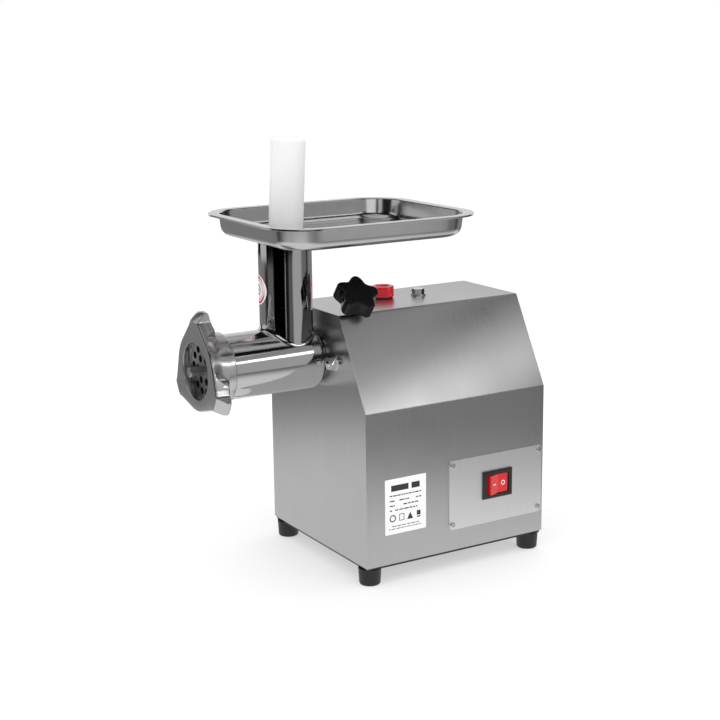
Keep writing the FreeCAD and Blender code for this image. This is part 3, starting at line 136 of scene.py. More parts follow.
def join_rings(rings):
    """Points and faces of a closed skin: each ring is joined to the next, the last to the first."""
    count = len(rings[0])
    points = [p for ring in rings for p in ring]
    faces = []
    for r in range(len(rings)):
        a = r * count
        b = ((r + 1) % len(rings)) * count
        for k in range(count):
            n = (k + 1) % count
            faces.append((a + k, a + n, b + n, b + k))
    return points, faces


# ---- small helpers for materials ---------------------------------------------------------
class Shader:
    """One material and the few node recipes that the pieces share."""

    def __init__(self, name):
        self.material = bpy.data.materials.new(name)
        self.material.use_nodes = True
        self.tree = self.material.node_tree
        self.bsdf = self.tree.nodes["Principled BSDF"]
        self.coords = self.tree.nodes.new("ShaderNodeTexCoord").outputs["Object"]

    def set(self, **values):
        for key, value in values.items():
            self.bsdf.inputs[key.replace("_", " ")].default_value = value
        return self

    def link(self, output, socket):
        self.tree.links.new(output, self.bsdf.inputs[socket])

    def mapped(self, scale):
        mapping = self.tree.nodes.new("ShaderNodeMapping")
        mapping.inputs["Scale"].default_value = scale
        self.tree.links.new(self.coords, mapping.inputs["Vector"])
        return mapping.outputs["Vector"]

    def noise(self, scale, detail=3.0, rough=0.55):
        texture = self.tree.nodes.new("ShaderNodeTexNoise")
        texture.inputs["Scale"].default_value = 1.0
        texture.inputs["Detail"].default_value = detail
        texture.inputs["Roughness"].default_value = rough
        self.tree.links.new(self.mapped(scale), texture.inputs["Vector"])
        return texture.outputs["Fac"]

    def ramp(self, value, low, high, out_low, out_high):
        """Maps value from low..high to out_low..out_high."""
        node = self.tree.nodes.new("ShaderNodeMapRange")
        node.inputs["From Min"].default_value = low
        node.inputs["From Max"].default_value = high
        node.inputs["To Min"].default_value = out_low
        node.inputs["To Max"].default_value = out_high
        self.tree.links.new(value, node.inputs["Value"])
        return node.outputs["Result"]

    def math(self, operation, first, second):
        node = self.tree.nodes.new("ShaderNodeMath")
        node.operation = operation
        for index, value in enumerate((first, second)):
            if isinstance(value, (int, float)):
                node.inputs[index].default_value = value
            else:
                self.tree.links.new(value, node.inputs[index])
        return node.outputs["Value"]

    def mix(self, factor, first, second):
        node = self.tree.nodes.new("ShaderNodeMix")
        node.data_type = "RGBA"
        self.tree.links.new(factor, node.inputs["Factor"])
        node.inputs["A"].default_value = (*first, 1)
        node.inputs["B"].default_value = (*second, 1)
        return node.outputs["Result"]

    def bump(self, height, strength, distance):
        node = self.tree.nodes.new("ShaderNodeBump")
        node.inputs["Strength"].default_value = strength
        node.inputs["Distance"].default_value = distance
        self.tree.links.new(height, node.inputs["Height"])
        self.link(node.outputs["Normal"], "Normal")

    def tangent(self, axis):
        node = self.tree.nodes.new("ShaderNodeTangent")
        node.direction_type = "RADIAL"
        node.axis = axis
        self.link(node.outputs["Tangent"], "Tangent")


def brushed(name, across, tone, rough, anisotropic, radial, rotation, bump=0.045):
    """Brushed sheet. across is the index of the axis that crosses the scratches."""
    s = Shader(name)
    fine = [16.0, 16.0, 16.0]
    coarse = [3.0, 3.0, 3.0]
    fine[across] = 3400.0
    coarse[across] = 260.0
    scratches = s.noise(fine, 4.0, rough=0.7)
    bands = s.noise(coarse, 2.0)
    blotches = s.noise((9.0, 9.0, 9.0), 2.0)
    both = s.math("ADD", s.math("MULTIPLY", scratches, 0.75), s.math("MULTIPLY", bands, 0.25))
    dark = [c * 0.97 for c in tone]
    light = [min(1.0, c * 1.025) for c in tone]
    s.link(s.mix(s.ramp(both, 0.38, 0.62, 0.0, 1.0), dark, light), "Base Color")
    spread = s.math("ADD", s.math("MULTIPLY", scratches, 0.5), s.math("MULTIPLY", blotches, 0.5))
    s.link(s.ramp(spread, 0.35, 0.65, rough - 0.04, rough + 0.05), "Roughness")
    s.bump(both, bump, 0.0002)
    s.set(Metallic=1.0, Anisotropic=anisotropic, Anisotropic_Rotation=rotation)
    if radial:
        s.tangent(radial)
    return s.material


def polished(name, tone, rough, bump=0.03, ripple=28.0):
    """Polished steel, with the slow waves and the fine buffing lines that hand polishing leaves."""
    s = Shader(name)
    waves = s.noise((ripple, ripple, ripple * 0.5), 2.0)
    lines = s.noise((900.0, 900.0, 60.0), 3.0, rough=0.7)
    smears = s.noise((40.0, 40.0, 12.0), 3.0)
    s.link(s.mix(smears, [c * 0.93 for c in tone], tone), "Base Color")
    wear = s.math("ADD", s.math("MULTIPLY", lines, 0.4), s.math("MULTIPLY", smears, 0.6))
    s.link(s.ramp(wear, 0.3, 0.7, rough * 0.7, rough * 1.5), "Roughness")
    s.bump(s.math("ADD", waves, s.math("MULTIPLY", lines, 0.03)), bump, 0.004)
    s.set(Metallic=1.0)
    return s.material


def grained(
    name, tone, rough, metallic=0.0, grain=900.0, bump=0.12, spread=0.10, coat=0.0, specular=0.5
):
    """Moulded, cast or painted surface with a fine even grain."""
    s = Shader(name)
    grains = s.noise((grain, grain, grain), 2.0)
    patches = s.noise((30.0, 30.0, 30.0), 3.0)
    dark = [c * (1 - spread) for c in tone]
    light = [min(1.0, c * (1 + spread) + 0.002) for c in tone]
    s.link(s.mix(patches, dark, light), "Base Color")
    wear = s.math("ADD", s.math("MULTIPLY", grains, 0.5), s.math("MULTIPLY", patches, 0.5))
    s.link(s.ramp(wear, 0.3, 0.7, max(0.02, rough - 0.06), rough + 0.08), "Roughness")
    s.bump(grains, bump, 0.0002)
    s.set(Metallic=metallic, Coat_Weight=coat, Specular_IOR_Level=specular)
    return s.material


STEEL = (0.56, 0.56, 0.565)
wrap_steel = brushed("wrap_steel", 1, STEEL, 0.30, 0.65, "Y", 0.25, 0.03)
panel_steel = brushed("panel_steel", 0, STEEL, 0.30, 0.65, "Z", 0.0)
plate_aluminium = brushed("plate_aluminium", 1, (0.89, 0.89, 0.90), 0.40, 0.3, "Y", 0.25, 0.25)
tray_steel = polished("tray_steel", (0.68, 0.68, 0.685), 0.17, 0.03, 20.0)
head_steel = polished("head_steel", (0.66, 0.66, 0.67), 0.07, 0.05, 30.0)
nut_steel = polished("nut_steel", (0.66, 0.66, 0.67), 0.20, 0.03, 60.0)
bolt_steel = polished("bolt_steel", (0.70, 0.70, 0.71), 0.10, 0.03, 90.0)
dark_steel = grained("dark_steel", (0.34, 0.34, 0.35), 0.36, 1.0, 800.0, 0.20, 0.10)
cast_alloy = grained("cast_alloy", (0.55, 0.55, 0.56), 0.46, 1.0, 500.0, 0.45, 0.10)
black_paint = grained("black_paint", (0.018, 0.018, 0.019), 0.42, 0.0, 900.0, 0.25)
foot_rubber = grained("foot_rubber", (0.008, 0.008, 0.009), 0.42, 0.0, 1100.0, 0.30)
black_plastic = grained("black_plastic", (0.014, 0.014, 0.015), 0.33, 0.0, 1200.0, 0.18)
knob_plastic = grained(
    "knob_plastic", (0.0015, 0.0015, 0.002), 0.10, 0.0, 600.0, 0.03, specular=0.32
)
red_cap = grained("red_cap", (0.90, 0.018, 0.035), 0.20, 0.0, 600.0, 0.04, 0.06, coat=0.4)
red_rocker = grained("red_rocker", (0.62, 0.010, 0.012), 0.16, 0.0, 600.0, 0.03, 0.05, coat=0.5)
white_print = grained("white_print", (0.85, 0.80, 0.80), 0.4)
black_print = grained("black_print", (0.025, 0.025, 0.028), 0.5)
red_print = grained("red_print", (0.60, 0.045, 0.035), 0.45)
label_white = grained("label_white", (0.83, 0.83, 0.83), 0.42, 0.0, 1500.0, 0.06, 0.02)
white_plastic = grained("white_plastic", (0.84, 0.84, 0.835), 0.38, 0.0, 260.0, 0.06, 0.015)
copper = grained("copper", (0.62, 0.25, 0.12), 0.35, 1.0, 1400.0, 0.5)
laminations = brushed("laminations", 1, (0.22, 0.22, 0.24), 0.42, 0.0, None, 0.0, 0.5)
brass = grained("brass", (0.72, 0.52, 0.22), 0.28, 1.0, 900.0, 0.1)
grey_plastic = grained("grey_plastic", (0.07, 0.07, 0.075), 0.45)
wire_blue = grained("wire_blue", (0.05, 0.08, 0.28), 0.40)

LOOKS = {
    "stainless_sheet": wrap_steel,
    "polished_stainless": head_steel,
    "control_plate_metal": plate_aluminium,
    "fastener_steel": bolt_steel,
    "base_paint": black_paint,
    "foot_rubber": foot_rubber,
    "seal_rubber": foot_rubber,
    "black_plastic": black_plastic,
    "knob_plastic": knob_plastic,
    "red_cap_plastic": red_cap,
    "red_rocker_plastic": red_rocker,
    "white_label": label_white,
    "round_label": label_white,
    "cast_aluminium": cast_alloy,
    "machined_steel": dark_steel,
    "bearing_steel": bolt_steel,
    "laminations": laminations,
    "copper_windings": copper,
    "fan_plastic": grey_plastic,
    "capacitor_case": black_plastic,
    "wire_insulation": wire_blue,
    "terminal_brass": brass,
    "worm_cast": cast_alloy,
    "plate_steel": dark_steel,
    "white_plunger": white_plastic,
}
OWN_LOOKS = {"front_panel": panel_steel, "rear_panel": panel_steel, "ring_nut": nut_steel}
slots = {part["node"]: part["material_slot"] for part in frame["record"]["subparts"]}
for name, piece in nodes.items():
    piece.data.materials.clear()
    piece.data.materials.append(OWN_LOOKS.get(name, LOOKS[slots[name]]))


# ---- feed tray -----------------------------------------------------------------------------
def rounded_ring(centre_y, half_x, half_y, corner, z, arc=20, side=26):
    """A closed ring on a rounded rectangle, always with the same number of points."""
    ring = []
    centres = [
        (half_x - corner, half_y - corner, 0),
        (-half_x + corner, half_y - corner, 90),
        (-half_x + corner, -half_y + corner, 180),
        (half_x - corner, -half_y + corner, 270),
    ]
    for i, (cx, cy, start) in enumerate(centres):
        for k in range(arc + 1):
            turn = math.radians(start + 90.0 * k / arc)
            ring.append((cx + corner * math.cos(turn), centre_y + cy + corner * math.sin(turn), z))
        nx, ny, next_start = centres[(i + 1) % 4]
        turn = math.radians(next_start)
        to = (nx + corner * math.cos(turn), centre_y + ny + corner * math.sin(turn))
        here = ring[-1]
        for k in range(1, side):
            t = k / side
            ring.append((here[0] + (to[0] - here[0]) * t, here[1] + (to[1] - here[1]) * t, z))
    return ring


def build_tray():
    """The pressed tray as one closed sheet: spigot, floor, wall and folded rim."""
    low, high = box_mm("feed_tray")
    middle_y = (low[1] + high[1]) / 2
    half_x = (high[0] - low[0]) / 2
    half_y = (high[1] - low[1]) / 2
    rim = high[2]
    floor = rim - TRAY_DEPTH
    spigot_end = low[2]
    tube_y = middle_y - TRAY_HOLE_AHEAD
    flat = 34  # inset at which the level floor begins
    section = rounded_path(
        [
            (flat, floor + SHEET, 0),
            (16.1, floor + SHEET, 11),
            (13.0, rim, 1.8),
            (0, rim, 0.9),
            (0, rim - 2.2, 0.3),
            (0.9, rim - 2.2, 0.3),
            (0.9, rim - SHEET, 0.2),
            (12.0, rim - SHEET, 2.8),
            (15.0, floor, 12),
            (flat, floor, 0),
        ],
        8,
    )

    def wall_ring(inset, z):
        return rounded_ring(middle_y, half_x - inset, half_y - inset, TRAY_CORNER - inset, z)

    floor_ring = wall_ring(flat, floor)

    def hole_ring(radius, z):
        ring = []
        for x, y, _ in floor_ring:
            turn = math.atan2(y - tube_y, x)
            ring.append((radius * math.cos(turn), tube_y + radius * math.sin(turn), z))
        return ring

    outer = SPIGOT_RADIUS
    inner = outer - 0.9
    rings = [hole_ring(inner, spigot_end), hole_ring(inner, floor - 1.2)]
    for k in range(7):
        turn = math.radians(90.0 * k / 6)
        rings.append(
            hole_ring(inner + 2.2 * (1 - math.cos(turn)), floor - 1.2 + 2.2 * math.sin(turn))
        )
    rings += [hole_ring(inner + 3.0, floor + SHEET)]
    rings += [wall_ring(inset, z) for inset, z in section]
    rings += [hole_ring(outer + 1.4, floor), hole_ring(outer + 0.4, floor)]
    rings += [hole_ring(outer, floor - 0.4), hole_ring(outer, spigot_end)]
    points, faces = join_rings(rings)
    mesh_object(
        "tray", points, faces, tray_steel, "tray", ["feed_tray"], 50
    )


build_tray()


# ---- ring nut ------------------------------------------------------------------------------
def lerp(a, b, t):
    """The point at share t of the way from a to b."""
    return tuple(x + (y - x) * t for x, y in zip(a, b))


def nut_outline():
    """A third of the nut's outline in (x, z): a lug pointing up, then the rim to the next lug."""
    flank = rounded_path(
        [(31.82, 31.82, 0), (14.2, 49.4, 14), (9.4, 54.8, 6), (8.9, 64.9, 1.6), (0, 66.0, 0)], 8
    )
    lug = []
    for start, end in zip(flank[:-1], flank[1:]):
        steps = max(1, round(math.dist(start, end) / 1.2))
        lug += [lerp(start, end, k / steps) for k in range(steps)]
    mirrored = [(-x, z) for x, z in reversed(lug)]
    rim = []
    for k in range(1, 12):
        turn = math.radians(135 + 30 * k / 12)
        rim.append((NUT_RIM * math.cos(turn), NUT_RIM * math.sin(turn)))
    return lug + [(0.0, 66.0)] + mirrored + rim


def build_ring_nut():
    """The nut as one smooth shape whose lugs run into its round band.

    Each point of the outline gets a profile of (radius, depth behind the front) points. The
    value lug goes from 0 on the flange between the lugs to 1 out on a lug.
    """
    front = box_mm("ring_nut")[0][1]
    plate_low, plate_high = box_mm("mincing_plate")
    axis_z = (plate_low[2] + plate_high[2]) / 2
    step = plate_low[1] - 0.35 - front
    edge = 2.0

    def face(radius):
        return max(0.0, radius - LUG_TIP)

    outline = []
    for k in range(3):
        spin = Matrix.Rotation(math.radians(120 * k), 2)
        outline += [tuple(spin @ Vector(p)) for p in nut_outline()]
    rings = []
    for x, z in outline:
        reach = math.hypot(x, z)
        lug = max(0.0, min(1.0, (reach - NUT_RIM) / 5.5))
        lug = lug * lug * (3 - 2 * lug)
        back = 3.5 + (19.0 + 4.5 * (46.5 - reach) / 18.7 - 3.5) * lug
        wall = max(back - edge, face(reach) + edge + 0.2)
        profile = [(NUT_OPENING, 0.7), (32.2, 0.2), (32.7, 0.0)]
        inner = min(reach - edge, LUG_TIP)
        profile += [(33.5, 0.0), (inner - 0.6, 0.0), (inner, 0.08)]
        start = (reach - edge, face(reach - edge) + (0.1 if reach > 56 else 0.0))
        end = (reach, face(reach) + edge)
        for k in range(1, 6):
            turn = math.radians(90 * k / 6)
            out = start[0] + (end[0] - start[0]) * math.sin(turn)
            profile.append((out, end[1] + (start[1] - end[1]) * math.cos(turn)))
        profile += [end, ((end[0] + reach) / 2, (end[1] + wall) / 2), (reach, wall)]
        behind = lerp((43.8, 5.5), (reach - 1.5, back), lug)
        for k in range(1, 4):
            turn = math.radians(30 * k)
            if lug < 0.02:
                profile.append(lerp((reach, wall), behind, k / 3))
            else:
                out = reach + (behind[0] - reach) * (1 - math.cos(turn))
                profile.append((out, wall + (behind[1] - wall) * math.sin(turn)))
        root = lerp((40.9, 12.5), (42.5, 19.8), lug)
        band = lerp((NUT_BAND, 17.0), (NUT_BAND, 22.5), lug)
        profile += [lerp(behind, root, 0.5), root, lerp(root, band, 0.45), band]
        profile += [(NUT_BAND, 24.0), (NUT_BAND, 30.6), (39.85, 31.4), (39.4, 31.9), (38.9, 32.0)]
        profile += [(37.6, 32.0), (NUT_THREAD, 31.4), (NUT_THREAD, 20.0)]
        profile += [(NUT_THREAD, step), (NUT_OPENING, step)]
        rings.append(
            [(x / reach * r, front + depth, axis_z + z / reach * r) for r, depth in profile]
        )
    points, faces = join_rings(rings)
    mesh_object(
        "nut", points, faces, nut_steel, "ring_nut", ["ring_nut"], 38
    )


build_ring_nut()


# ---- softened edges on the CAD pieces ------------------------------------------------------
def soften(name, width, segments):
    """Rounds a CAD piece's sharp edges with modifiers; its own mesh stays as it is."""
    piece = nodes[name]
    weld = piece.modifiers.new("weld", "WELD")
    weld.merge_threshold = 0.000002
    bevel = piece.modifiers.new("bevel", "BEVEL")
    bevel.width = width * MM
    bevel.segments = segments
    bevel.limit_method = "ANGLE"
    bevel.angle_limit = math.radians(32.0)
    bevel.harden_normals = True
    bevel.use_clamp_overlap = True


for node, width, segments in (
    ("flange_bolts", 0.35, 2),
    ("top_bolt_and_washer", 0.35, 2),
    ("oil_plug", 0.7, 2),
    ("switch_housing", 0.35, 2),
    ("switch_rocker", 0.5, 2),
    ("cable_gland", 0.4, 2),
    ("clamp_knob", 1.6, 4),
):
    soften(node, width, segments)


# ---- printed and moulded marks -------------------------------------------------------------
def flat_marks(name, origin, right, up, shapes, material, body):
    """Thin print on a plane. Each shape is a list of (right, up) outlines, in millimetres."""
    points, faces = [], []
    for outline in shapes:
        start = len(points)
        for a, b in outline:
            points.append(tuple(Vector(origin) + Vector(right) * a + Vector(up) * b))
        faces.append(tuple(range(start, len(points))))
    mesh_object(name, points, faces, material, body)


def bar(a0, a1, b0, b1):
    """The outline of a rectangle."""
    return [(a0, b0), (a1, b0), (a1, b1), (a0, b1)]


def ring_segments(a, b, outer, inner, count):
    """Outlines of the pieces of a flat ring about (a, b)."""
    shapes = []
    for k in range(count):
        first, second = TAU * k / count, TAU * (k + 1) / count
        shapes.append(
            [
                (a + outer * math.cos(first), b + outer * math.sin(first)),
                (a + outer * math.cos(second), b + outer * math.sin(second)),
                (a + inner * math.cos(second), b + inner * math.sin(second)),
                (a + inner * math.cos(first), b + inner * math.sin(first)),
            ]
        )
    return shapes


def words(left, right, low, high):
    """A line of print as plain bars of uneven length."""
    shapes = []
    at = left
    while at < right - 1.5:
        end = min(right, at + random.uniform(2.0, 6.5))
        shapes.append(bar(at, end, low, high))
        at = end + random.uniform(0.8, 1.3)
    return shapes


def label_print():
    """Plain bars and simple shapes in place of the label's print."""
    low, high = box_mm("rating_label")
    width = high[1] - low[1]
    top = high[2] - low[2]
    shapes = [bar(8, 31, top - 14.5, top - 7.5), bar(35, 46, top - 14.5, top - 7.5)]
    for drop, left, right, tall in (
        (19.0, 6, 48, 1.4),
        (25.0, 6, 14, 1.4),
        (25.0, 19, 32, 1.4),
        (25.0, 41, 48, 1.4),
        (30.5, 6, 13, 1.4),
        (30.5, 24, 44, 1.4),
        (36.0, 6, 10, 1.4),
        (36.0, 13, 44, 1.4),
        (55.0, 9, 45, 0.9),
        (58.0, 5, 49, 0.9),
    ):
        shapes += words(left, min(right, width - 4), top - drop - tall, top - drop)
    middle = top - 46.0
    shapes += ring_segments(10, middle, 4.2, 2.9, 24)
    shapes += [bar(18.5, 19.3, middle - 4, middle + 4), bar(24.5, 25.3, middle - 4, middle + 4)]
    shapes += [bar(18.5, 25.3, middle - 4, middle - 3.2), bar(18.5, 25.3, middle + 3.2, middle + 4)]
    shapes += [[(29, middle - 4), (37, middle - 4), (33, middle + 4)]]
    shapes += [bar(42, 47, middle - 1.5, middle + 4), bar(42, 47, middle - 4, middle - 2.6)]
    origin = (high[0] + 0.02, low[1], low[2])
    flat_marks(
        "label_print", origin, (0, 1, 0), (0, 0, 1), shapes, black_print, "chassis"
    )


def sticker_print():
    """Plain rings and a dot, bent round the feed tube."""
    low, high = box_mm("tube_sticker")
    centre_z = (low[2] + high[2]) / 2
    radius = TUBE_RADIUS + 0.22
    turn = math.radians(17.0)
    shapes = ring_segments(0, 0, 15.6, 12.9, 64) + ring_segments(0, 0, 11.3, 10.4, 64)
    inner = ring_segments(0, 0, 6.2, 4.6, 40) + ring_segments(0, 0, 2.2, 0.01, 24)
    for name, group, material in (
        ("sticker_rings", shapes, red_print),
        ("sticker_mark", inner, black_print),
    ):
        points, faces = [], []
        for outline in group:
            start = len(points)
            for a, b in outline:
                angle = a / radius - turn
                x, y = radius * math.sin(angle), TUBE_Y - radius * math.cos(angle)
                points.append((x, y, centre_z + b))
            faces.append(tuple(range(start, len(points))))
        mesh_object(name, points, faces, material, "head")


def rocker_marks():
    """The bar and the ring on the two halves of the rocker's face."""
    pivot = Vector(ROCKER_PIVOT)
    tilt = Matrix.Rotation(math.radians(ROCKER_TILT), 3, "Z")
    corners = [pivot + tilt @ Vector(p) for p in ((7.0, -13.9, 0), (4.8, 0, 0), (7.0, 13.9, 0))]
    for name, first, second, shapes in (
        ("rocker_bar", corners[0], corners[1], [bar(-2.6, 2.6, -0.55, 0.55)]),
        ("rocker_ring", corners[1], corners[2], ring_segments(0, 0, 2.8, 1.9, 36)),
    ):
        along = (second - first).normalized()
        outward = along.cross(Vector((0, 0, 1))).normalized()
        origin = (first + second) / 2 + outward * 0.06
        flat_marks(name, origin, along, (0, 0, 1), shapes, white_print, "rocker")


label_print()
sticker_print()
rocker_marks()


# ---- camera, studio ------------------------------------------------------------------------
def camera():
    """The camera at the photograph's viewing angle."""
    data = bpy.data.cameras.new("camera")
    data.sensor_width = 36.0
    data.lens = CAMERA_LENS
    data.clip_start = 0.05
    data.clip_end = 100.0
    piece = bpy.data.objects.new("camera", data)
    bpy.context.scene.collection.objects.link(piece)
    azimuth, elevation, roll = (math.radians(a) for a in CAMERA_ANGLES)
    back = Vector(
        (
            math.sin(azimuth) * math.cos(elevation),
            -math.cos(azimuth) * math.cos(elevation),
            math.sin(elevation),
        )
    )
    right = Vector((math.cos(azimuth), math.sin(azimuth), 0))
    up = back.cross(right)
    rolled_right = right * math.cos(roll) + up * math.sin(roll)
    rolled_up = up * math.cos(roll) - right * math.sin(roll)
    place = Matrix((rolled_right, rolled_up, back)).transposed().to_4x4()
    place.translation = Vector(CAMERA_PLACE) * MM
    piece.matrix_world = place
    bpy.context.scene.camera = piece


def plain_object(name, points, faces):
    """A piece of the studio, which is no part of the object."""
    mesh = bpy.data.meshes.new(name)
    mesh.from_pydata(points, [], faces)
    piece = bpy.data.objects.new(name, mesh)
    bpy.context.scene.collection.objects.link(piece)
    return piece


SQUARE = [(-1, -1, 0), (1, -1, 0), (1, 1, 0), (-1, 1, 0)]


def floor():
    """A pale floor that glows a little, so that it meets the room without a horizon."""
    half = 30.0
    piece = plain_object("floor", [(x * half, y * half, 0) for x, y, _ in SQUARE], [(0, 1, 2, 3)])
    s = Shader("floor_paint")
    s.set(Base_Color=(0.50, 0.50, 0.50, 1), Roughness=0.8, Specular_IOR_Level=0.1)
    s.set(Emission_Color=(1, 1, 1, 1), Emission_Strength=0.47)
    piece.data.materials.append(s.material)
    piece.visible_glossy = False


def glow_material(name):
    """A glowing material and the nodes that say how strongly it glows where."""
    material = bpy.data.materials.new(name)
    material.use_nodes = True
    tree = material.node_tree
    tree.nodes.clear()
    out = tree.nodes.new("ShaderNodeOutputMaterial")
    glow = tree.nodes.new("ShaderNodeEmission")
    tree.links.new(glow.outputs["Emission"], out.inputs["Surface"])
    coords = tree.nodes.new("ShaderNodeTexCoord").outputs["Object"]
    split = tree.nodes.new("ShaderNodeSeparateXYZ")
    tree.links.new(coords, split.inputs["Vector"])
    return material, tree, glow, coords, split


def only_in_reflections(piece, material):
    """Hides a piece from all but glossy rays."""
    piece.data.materials.append(material)
    piece.visible_camera = False
    piece.visible_diffuse = False
    piece.visible_shadow = False
    piece.visible_transmission = False
    piece.visible_volume_scatter = False


def reflection_card(name, place, aim, half_x, half_y, levels):
    """A glowing card that only shows up in shiny surfaces, as studio flags and bounce cards do.

    levels lists (from, to, start, end, axis): the glow goes from start to end over that stretch
    of the card's own x, y or radius, and the stretches are multiplied together.
    """
    piece = plain_object(name, SQUARE, [(0, 1, 2, 3)])
    piece.scale = (half_x, half_y, 1)
    piece.location = place
    if aim is not None:
        toward = Vector(aim) - Vector(place)
        piece.rotation_euler = toward.to_track_quat("Z", "Y").to_euler()
    material, tree, glow, coords, split = glow_material(name)
    length = tree.nodes.new("ShaderNodeVectorMath")
    length.operation = "LENGTH"
    tree.links.new(coords, length.inputs[0])
    sources = {"x": split.outputs["X"], "y": split.outputs["Y"], "r": length.outputs["Value"]}
    strength = None
    for low, high, start, end, axis in levels:
        ramp = tree.nodes.new("ShaderNodeMapRange")
        ramp.interpolation_type = "SMOOTHSTEP"
        ramp.inputs["From Min"].default_value = low
        ramp.inputs["From Max"].default_value = high
        ramp.inputs["To Min"].default_value = start
        ramp.inputs["To Max"].default_value = end
        tree.links.new(sources[axis], ramp.inputs["Value"])
        if strength is None:
            strength = ramp.outputs["Result"]
        else:
            times = tree.nodes.new("ShaderNodeMath")
            times.operation = "MULTIPLY"
            tree.links.new(strength, times.inputs[0])
            tree.links.new(ramp.outputs["Result"], times.inputs[1])
            strength = times.outputs["Value"]
    tree.links.new(strength, glow.inputs["Strength"])
    only_in_reflections(piece, material)
    return piece


def reflection_ring(name, radius, height, stops):
    """A low round screen with lighter and darker stretches, for the upright polished pieces.

    stops lists (azimuth in degrees, glow). The azimuth runs as in around().
    """
    steps = 120
    points = []
    for k in range(steps):
        turn = TAU * k / steps
        points += [
            (radius * math.cos(turn), radius * math.sin(turn), 0.002),
            (radius * math.cos(turn), radius * math.sin(turn), height),
        ]
    faces = []
    for k in range(steps):
        a, b = 2 * k, 2 * ((k + 1) % steps)
        faces.append((a, b, b + 1, a + 1))
    piece = plain_object(name, points, faces)
    material, tree, glow, coords, split = glow_material(name)
    back = tree.nodes.new("ShaderNodeMath")
    back.operation = "MULTIPLY"
    back.inputs[1].default_value = -1.0
    tree.links.new(split.outputs["Y"], back.inputs[0])
    turn = tree.nodes.new("ShaderNodeMath")
    turn.operation = "ARCTAN2"
    tree.links.new(split.outputs["X"], turn.inputs[0])
    tree.links.new(back.outputs["Value"], turn.inputs[1])
    share = tree.nodes.new("ShaderNodeMapRange")
    share.inputs["From Min"].default_value = -math.pi
    share.inputs["From Max"].default_value = math.pi
    tree.links.new(turn.outputs["Value"], share.inputs["Value"])
    ramp = tree.nodes.new("ShaderNodeValToRGB")
    tree.links.new(share.outputs["Result"], ramp.inputs["Fac"])
    while len(ramp.color_ramp.elements) < len(stops):
        ramp.color_ramp.elements.new(0.5)
    for element, (azimuth, level) in zip(ramp.color_ramp.elements, stops):
        element.position = (azimuth + 180) / 360
        element.color = (level, level, level, 1)
    tree.links.new(ramp.outputs["Color"], glow.inputs["Strength"])
    only_in_reflections(piece, material)


def area_light(name, place, target, width, height, power):
    """A soft light that shiny surfaces don't mirror."""
    data = bpy.data.lights.new(name, "AREA")
    data.shape = "RECTANGLE"
    data.size = width
    data.size_y = height
    data.energy = power
    piece = bpy.data.objects.new(name, data)
    bpy.context.scene.collection.objects.link(piece)
    piece.location = place
    piece.rotation_euler = (Vector(target) - Vector(place)).to_track_quat("-Z", "Y").to_euler()
    piece.visible_glossy = False


def world(seen, lighting, reflected):
    """A plain room: its brightness to the camera, to matt surfaces and in reflections."""
    room = bpy.data.worlds.new("studio")
    room.use_nodes = True
    tree = room.node_tree
    background = tree.nodes["Background"]
    background.inputs["Color"].default_value = (1, 1, 1, 1)
    ray = tree.nodes.new("ShaderNodeLightPath")
    level = lighting
    for output, value in (("Is Glossy Ray", reflected), ("Is Camera Ray", seen)):
        pick = tree.nodes.new("ShaderNodeMix")
        tree.links.new(ray.outputs[output], pick.inputs["Factor"])
        if isinstance(level, float):
            pick.inputs["A"].default_value = level
        else:
            tree.links.new(level, pick.inputs["A"])
        pick.inputs["B"].default_value = value
        level = pick.outputs["Result"]
    tree.links.new(level, background.inputs["Strength"])
    bpy.context.scene.world = room


def around(azimuth, distance, height):
    """A place round the object. Azimuth 0 is in front of it, towards -Y, and 90 is towards +X."""
    turn = math.radians(azimuth)
    return (math.sin(turn) * distance, -math.cos(turn) * distance, height)


def even(level):
    """Levels of a card that glows the same all over."""
    return [(-1, 1, level, level, "x")]


def sun(strength, spread):
    """Light from straight above. spread is its width in degrees."""
    data = bpy.data.lights.new("sun", "SUN")
    data.energy = strength
    data.angle = math.radians(spread)
    piece = bpy.data.objects.new("sun", data)
    bpy.context.scene.collection.objects.link(piece)
    piece.visible_glossy = False


CENTRE = (0.0, 0.0, 0.22)  # what the lights point at, in metres
camera()
floor()
world(1.0, 0.92, 0.008)
sun(0.9, 110)
area_light("key", around(10, 2.2, 1.3), CENTRE, 1.2, 1.2, 5)
area_light("fill", around(100, 2.2, 0.9), CENTRE, 1.4, 1.2, 8)

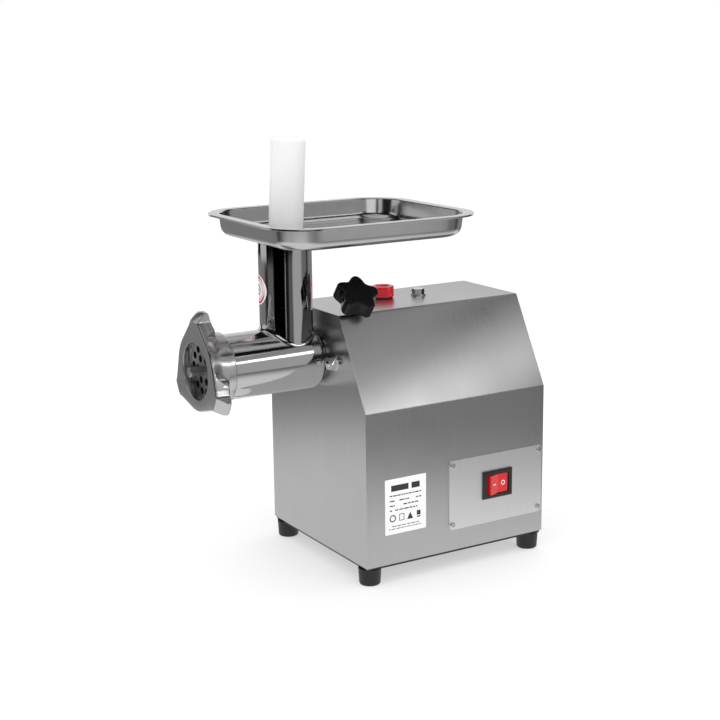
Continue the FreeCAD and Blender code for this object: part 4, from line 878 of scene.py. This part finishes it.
# The cards stand and glow as they do to match the highlights of the photograph's one view.
card = reflection_card(
    "card_floor",
    (0, 0, 0),
    None,
    6,
    6,
    [(0.035, 0.125, 0.86, 0.25, "x"), (-0.15, -0.06, 0.25, 0.93, "x"), (0.17, 0.22, 1.0, 0.0, "r")],
)
card.rotation_euler = (0, 0, math.radians(31))
backdrop = [(0.2, 1.0, 0.80, 0.4, "y")]
reflection_card("card_backdrop", around(239, 2.2, 1.0), around(239, 0, 1.0), 2.2, 1.2, backdrop)
card = reflection_card("card_sweep", around(239, 1.3, 0.001), None, 0.8, 0.45, even(0.7))
card.rotation_euler = (0, 0, math.radians(149))
reflection_card(
    "card_right",
    around(124, 0.58, 0.40),
    around(124, 0, 0.40),
    0.40,
    0.28,
    [(0.16, 0.28, 0.14, 1.0, "y"), (0.34, 0.68, 3.3, 0.15, "y"), (-0.30, 0.10, 0.4, 1.0, "x")],
)
for name, azimuth, distance, height, half_x, half_y, glow in (
    ("card_flag", 124, 0.28, 0.47, 0.25, 0.06, 0.33),
    ("card_high", 121, 1.2, 1.05, 0.6, 0.25, 0.9),
    ("card_behind", 60, 1.5, 1.0, 0.5, 0.40, 0.9),
    ("card_left", -40, 1.3, 0.6, 0.45, 0.6, 0.6),
):
    place, aim = around(azimuth, distance, height), around(azimuth, 0, height)
    reflection_card(name, place, aim, half_x, half_y, even(glow))
reflection_card("card_top", (0.0, -0.3, 1.7), (0, -0.3, 0), 0.8, 0.6, [(-1, 1, 0.35, 0.6, "x")])
reflection_card("card_roof", (0.12, 0.88, 1.7), (0.12, 0.88, 0), 0.45, 0.30, even(0.75))
reflection_ring(
    "card_ring",
    1.0,
    0.22,
    [
        (-80, 0.26),
        (-35, 0.22),
        (-28, 0.03),
        (-18, 0.03),
        (-12, 0.15),
        (8, 0.15),
        (12, 0.0),
        (56, 0.0),
        (58, 0.5),
        (60, 0.0),
        (70, 0.02),
        (76, 0.16),
        (84, 0.08),
        (90, 0.42),
        (112, 0.48),
        (122, 0.2),
        (132, 0.34),
        (140, 0.05),
        (152, 0.2),
        (165, 0.03),
        (180, 0.25),
    ],
)
bpy.context.scene.view_settings.view_transform = "Standard"
